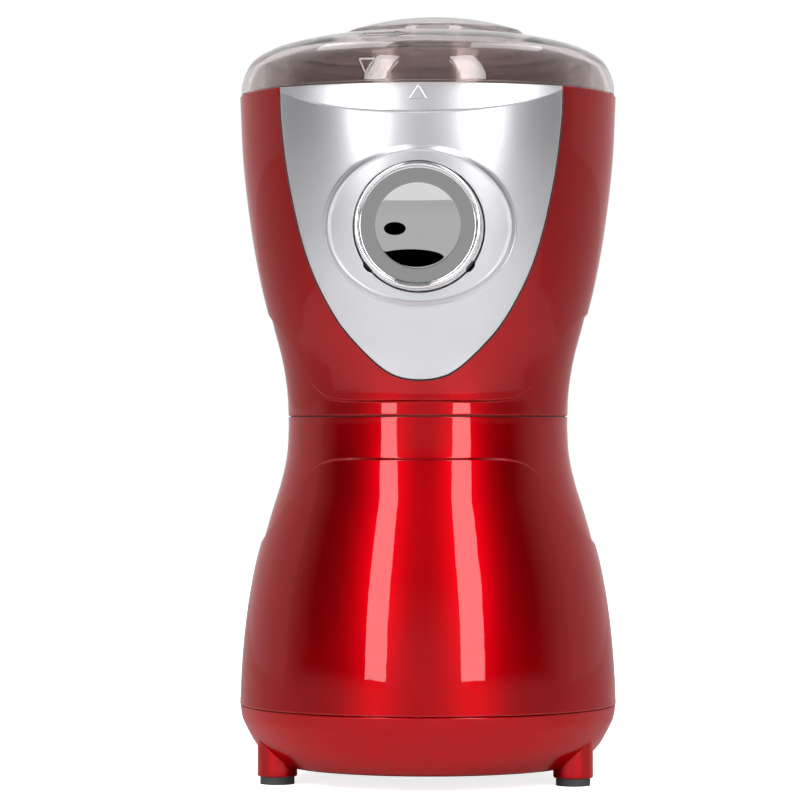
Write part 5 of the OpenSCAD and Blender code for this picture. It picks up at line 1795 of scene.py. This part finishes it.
    def _glow(self, name: str, rows: Sequence[Sequence[Point]],
              glow: float | Callable[[Nodes], bpy.types.Node], mirrors_only: bool = False,
              closed: bool = False) -> None:
        """Makes a glowing card that only shiny faces mirror.

        Args:
            name: The card's name.
            rows: The points of its grid.
            glow: How bright it looks, or what makes the node that says so.
            mirrors_only: Whether it shows in perfect mirrors alone.
            closed: Whether each row joins its own start.
        """
        sheet = Quilt()
        sheet.grid(rows, closed)
        card = sheet.sew(name)
        material = bpy.data.materials.new(name + "_paper")
        nodes = Nodes(material)
        nodes.feed("Principled BSDF", {"Base Color": (0.0, 0.0, 0.0, 1.0), "Specular IOR Level": 0.0,
                                       "Emission Color": WHITE,
                                       "Emission Strength": glow(nodes) if callable(glow) else glow})
        if mirrors_only:
            mirror = nodes.add("ShaderNodeLightPath").outputs["Is Singular Ray"]
            ends = (nodes.add("ShaderNodeBsdfTransparent"), nodes.tree.nodes["Principled BSDF"])
            mix = nodes.add("ShaderNodeMixShader", {0: mirror, 1: ends[0], 2: ends[1]})
            nodes.feed("Material Output", {"Surface": mix})
        card.data.materials.append(material)
        card.visible_camera = card.visible_diffuse = card.visible_shadow = card.visible_transmission = False

    def _card(self, card: Card) -> None:
        """Hangs one dark oval card in front of the object.

        Args:
            card: The card's place and size.
        """
        angle = self._direction(card.turn)
        high = BUTTON.centre_z + self.card_far * math.tan(math.radians(card.pitch))
        centre = from_right(self.card_far, angle, high)
        rim = []
        for a in full_turn(self.card_columns):
            across, up = card.size[0] / 2 * math.cos(a), card.size[1] / 2 * math.sin(a)
            x, y = centre[0] - across * math.sin(angle), centre[1] + across * math.cos(angle)
            rim.append((x, y, high + up))
        self._glow(card.name, [rim, [centre] * len(rim)], 0.0, mirrors_only=True, closed=True)

    def _mirror_wall(self) -> None:
        """Hangs the grey wall behind the camera that only perfect mirrors show."""
        middle = self._direction(0.0)
        turns = spread(middle - self.mirror_half, middle + self.mirror_half, self.curtain_columns)
        rows = [[from_right(self.mirror_r, a, z) for a in turns] for z in self.mirror_heights]
        self._glow("mirror_wall", rows, self.mirror_glow, mirrors_only=True)

    def _curtain(self, curtain: Curtain) -> None:
        """Hangs one curtain, whose glow is the brighter of a fade up from its hem and a fade along its depth.

        Args:
            curtain: The curtain's place and glow.
        """

        def fades(nodes: Nodes) -> bpy.types.Node:
            """Makes the node that gives the glow at each place."""
            place = nodes.add("ShaderNodeTexCoord").outputs["Object"]
            _, y, z = nodes.add("ShaderNodeSeparateXYZ", {"Vector": place}).outputs
            hem = nodes.ramp(z, curtain.hem_glow, curtain.glow, curtain.hem[0] * MM, curtain.hem[1] * MM)
            side = nodes.ramp(y, *self.side_glow, self.side_span[0] * MM, self.side_span[1] * MM)
            return nodes.join("MAXIMUM", hem, side)

        turns = spread(*(self._direction(turn) for turn in curtain.turns), self.curtain_columns)
        self._glow(curtain.name, [[from_right(r, a, z) for a in turns] for r, z in self.curtain_rows], fades)


# ---- making


def dress_nodes(nodes: dict[str, bpy.types.Object]) -> None:
    """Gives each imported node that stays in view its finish.

    Args:
        nodes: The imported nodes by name.
    """
    for finish, names in NODE_FINISHES:
        for name in names:
            finish.dress(nodes[name])
        LOG.info("dressed %s in %s", ", ".join(names), finish.name)


def main() -> None:
    """Builds the scene."""
    logging.basicConfig(level=logging.INFO, format="%(message)s")
    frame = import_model()
    dress_nodes(frame["nodes"])
    for maker in (UpperHousing(), LidCatches(), LowerHousing(), BaseCover(), FrontPanel(), StartButton(),
                  ReturnSprings(), Lid(), Studio()):
        maker.build()
        LOG.info("built %s", type(maker).__name__)


if __name__ == "__main__":
    main()
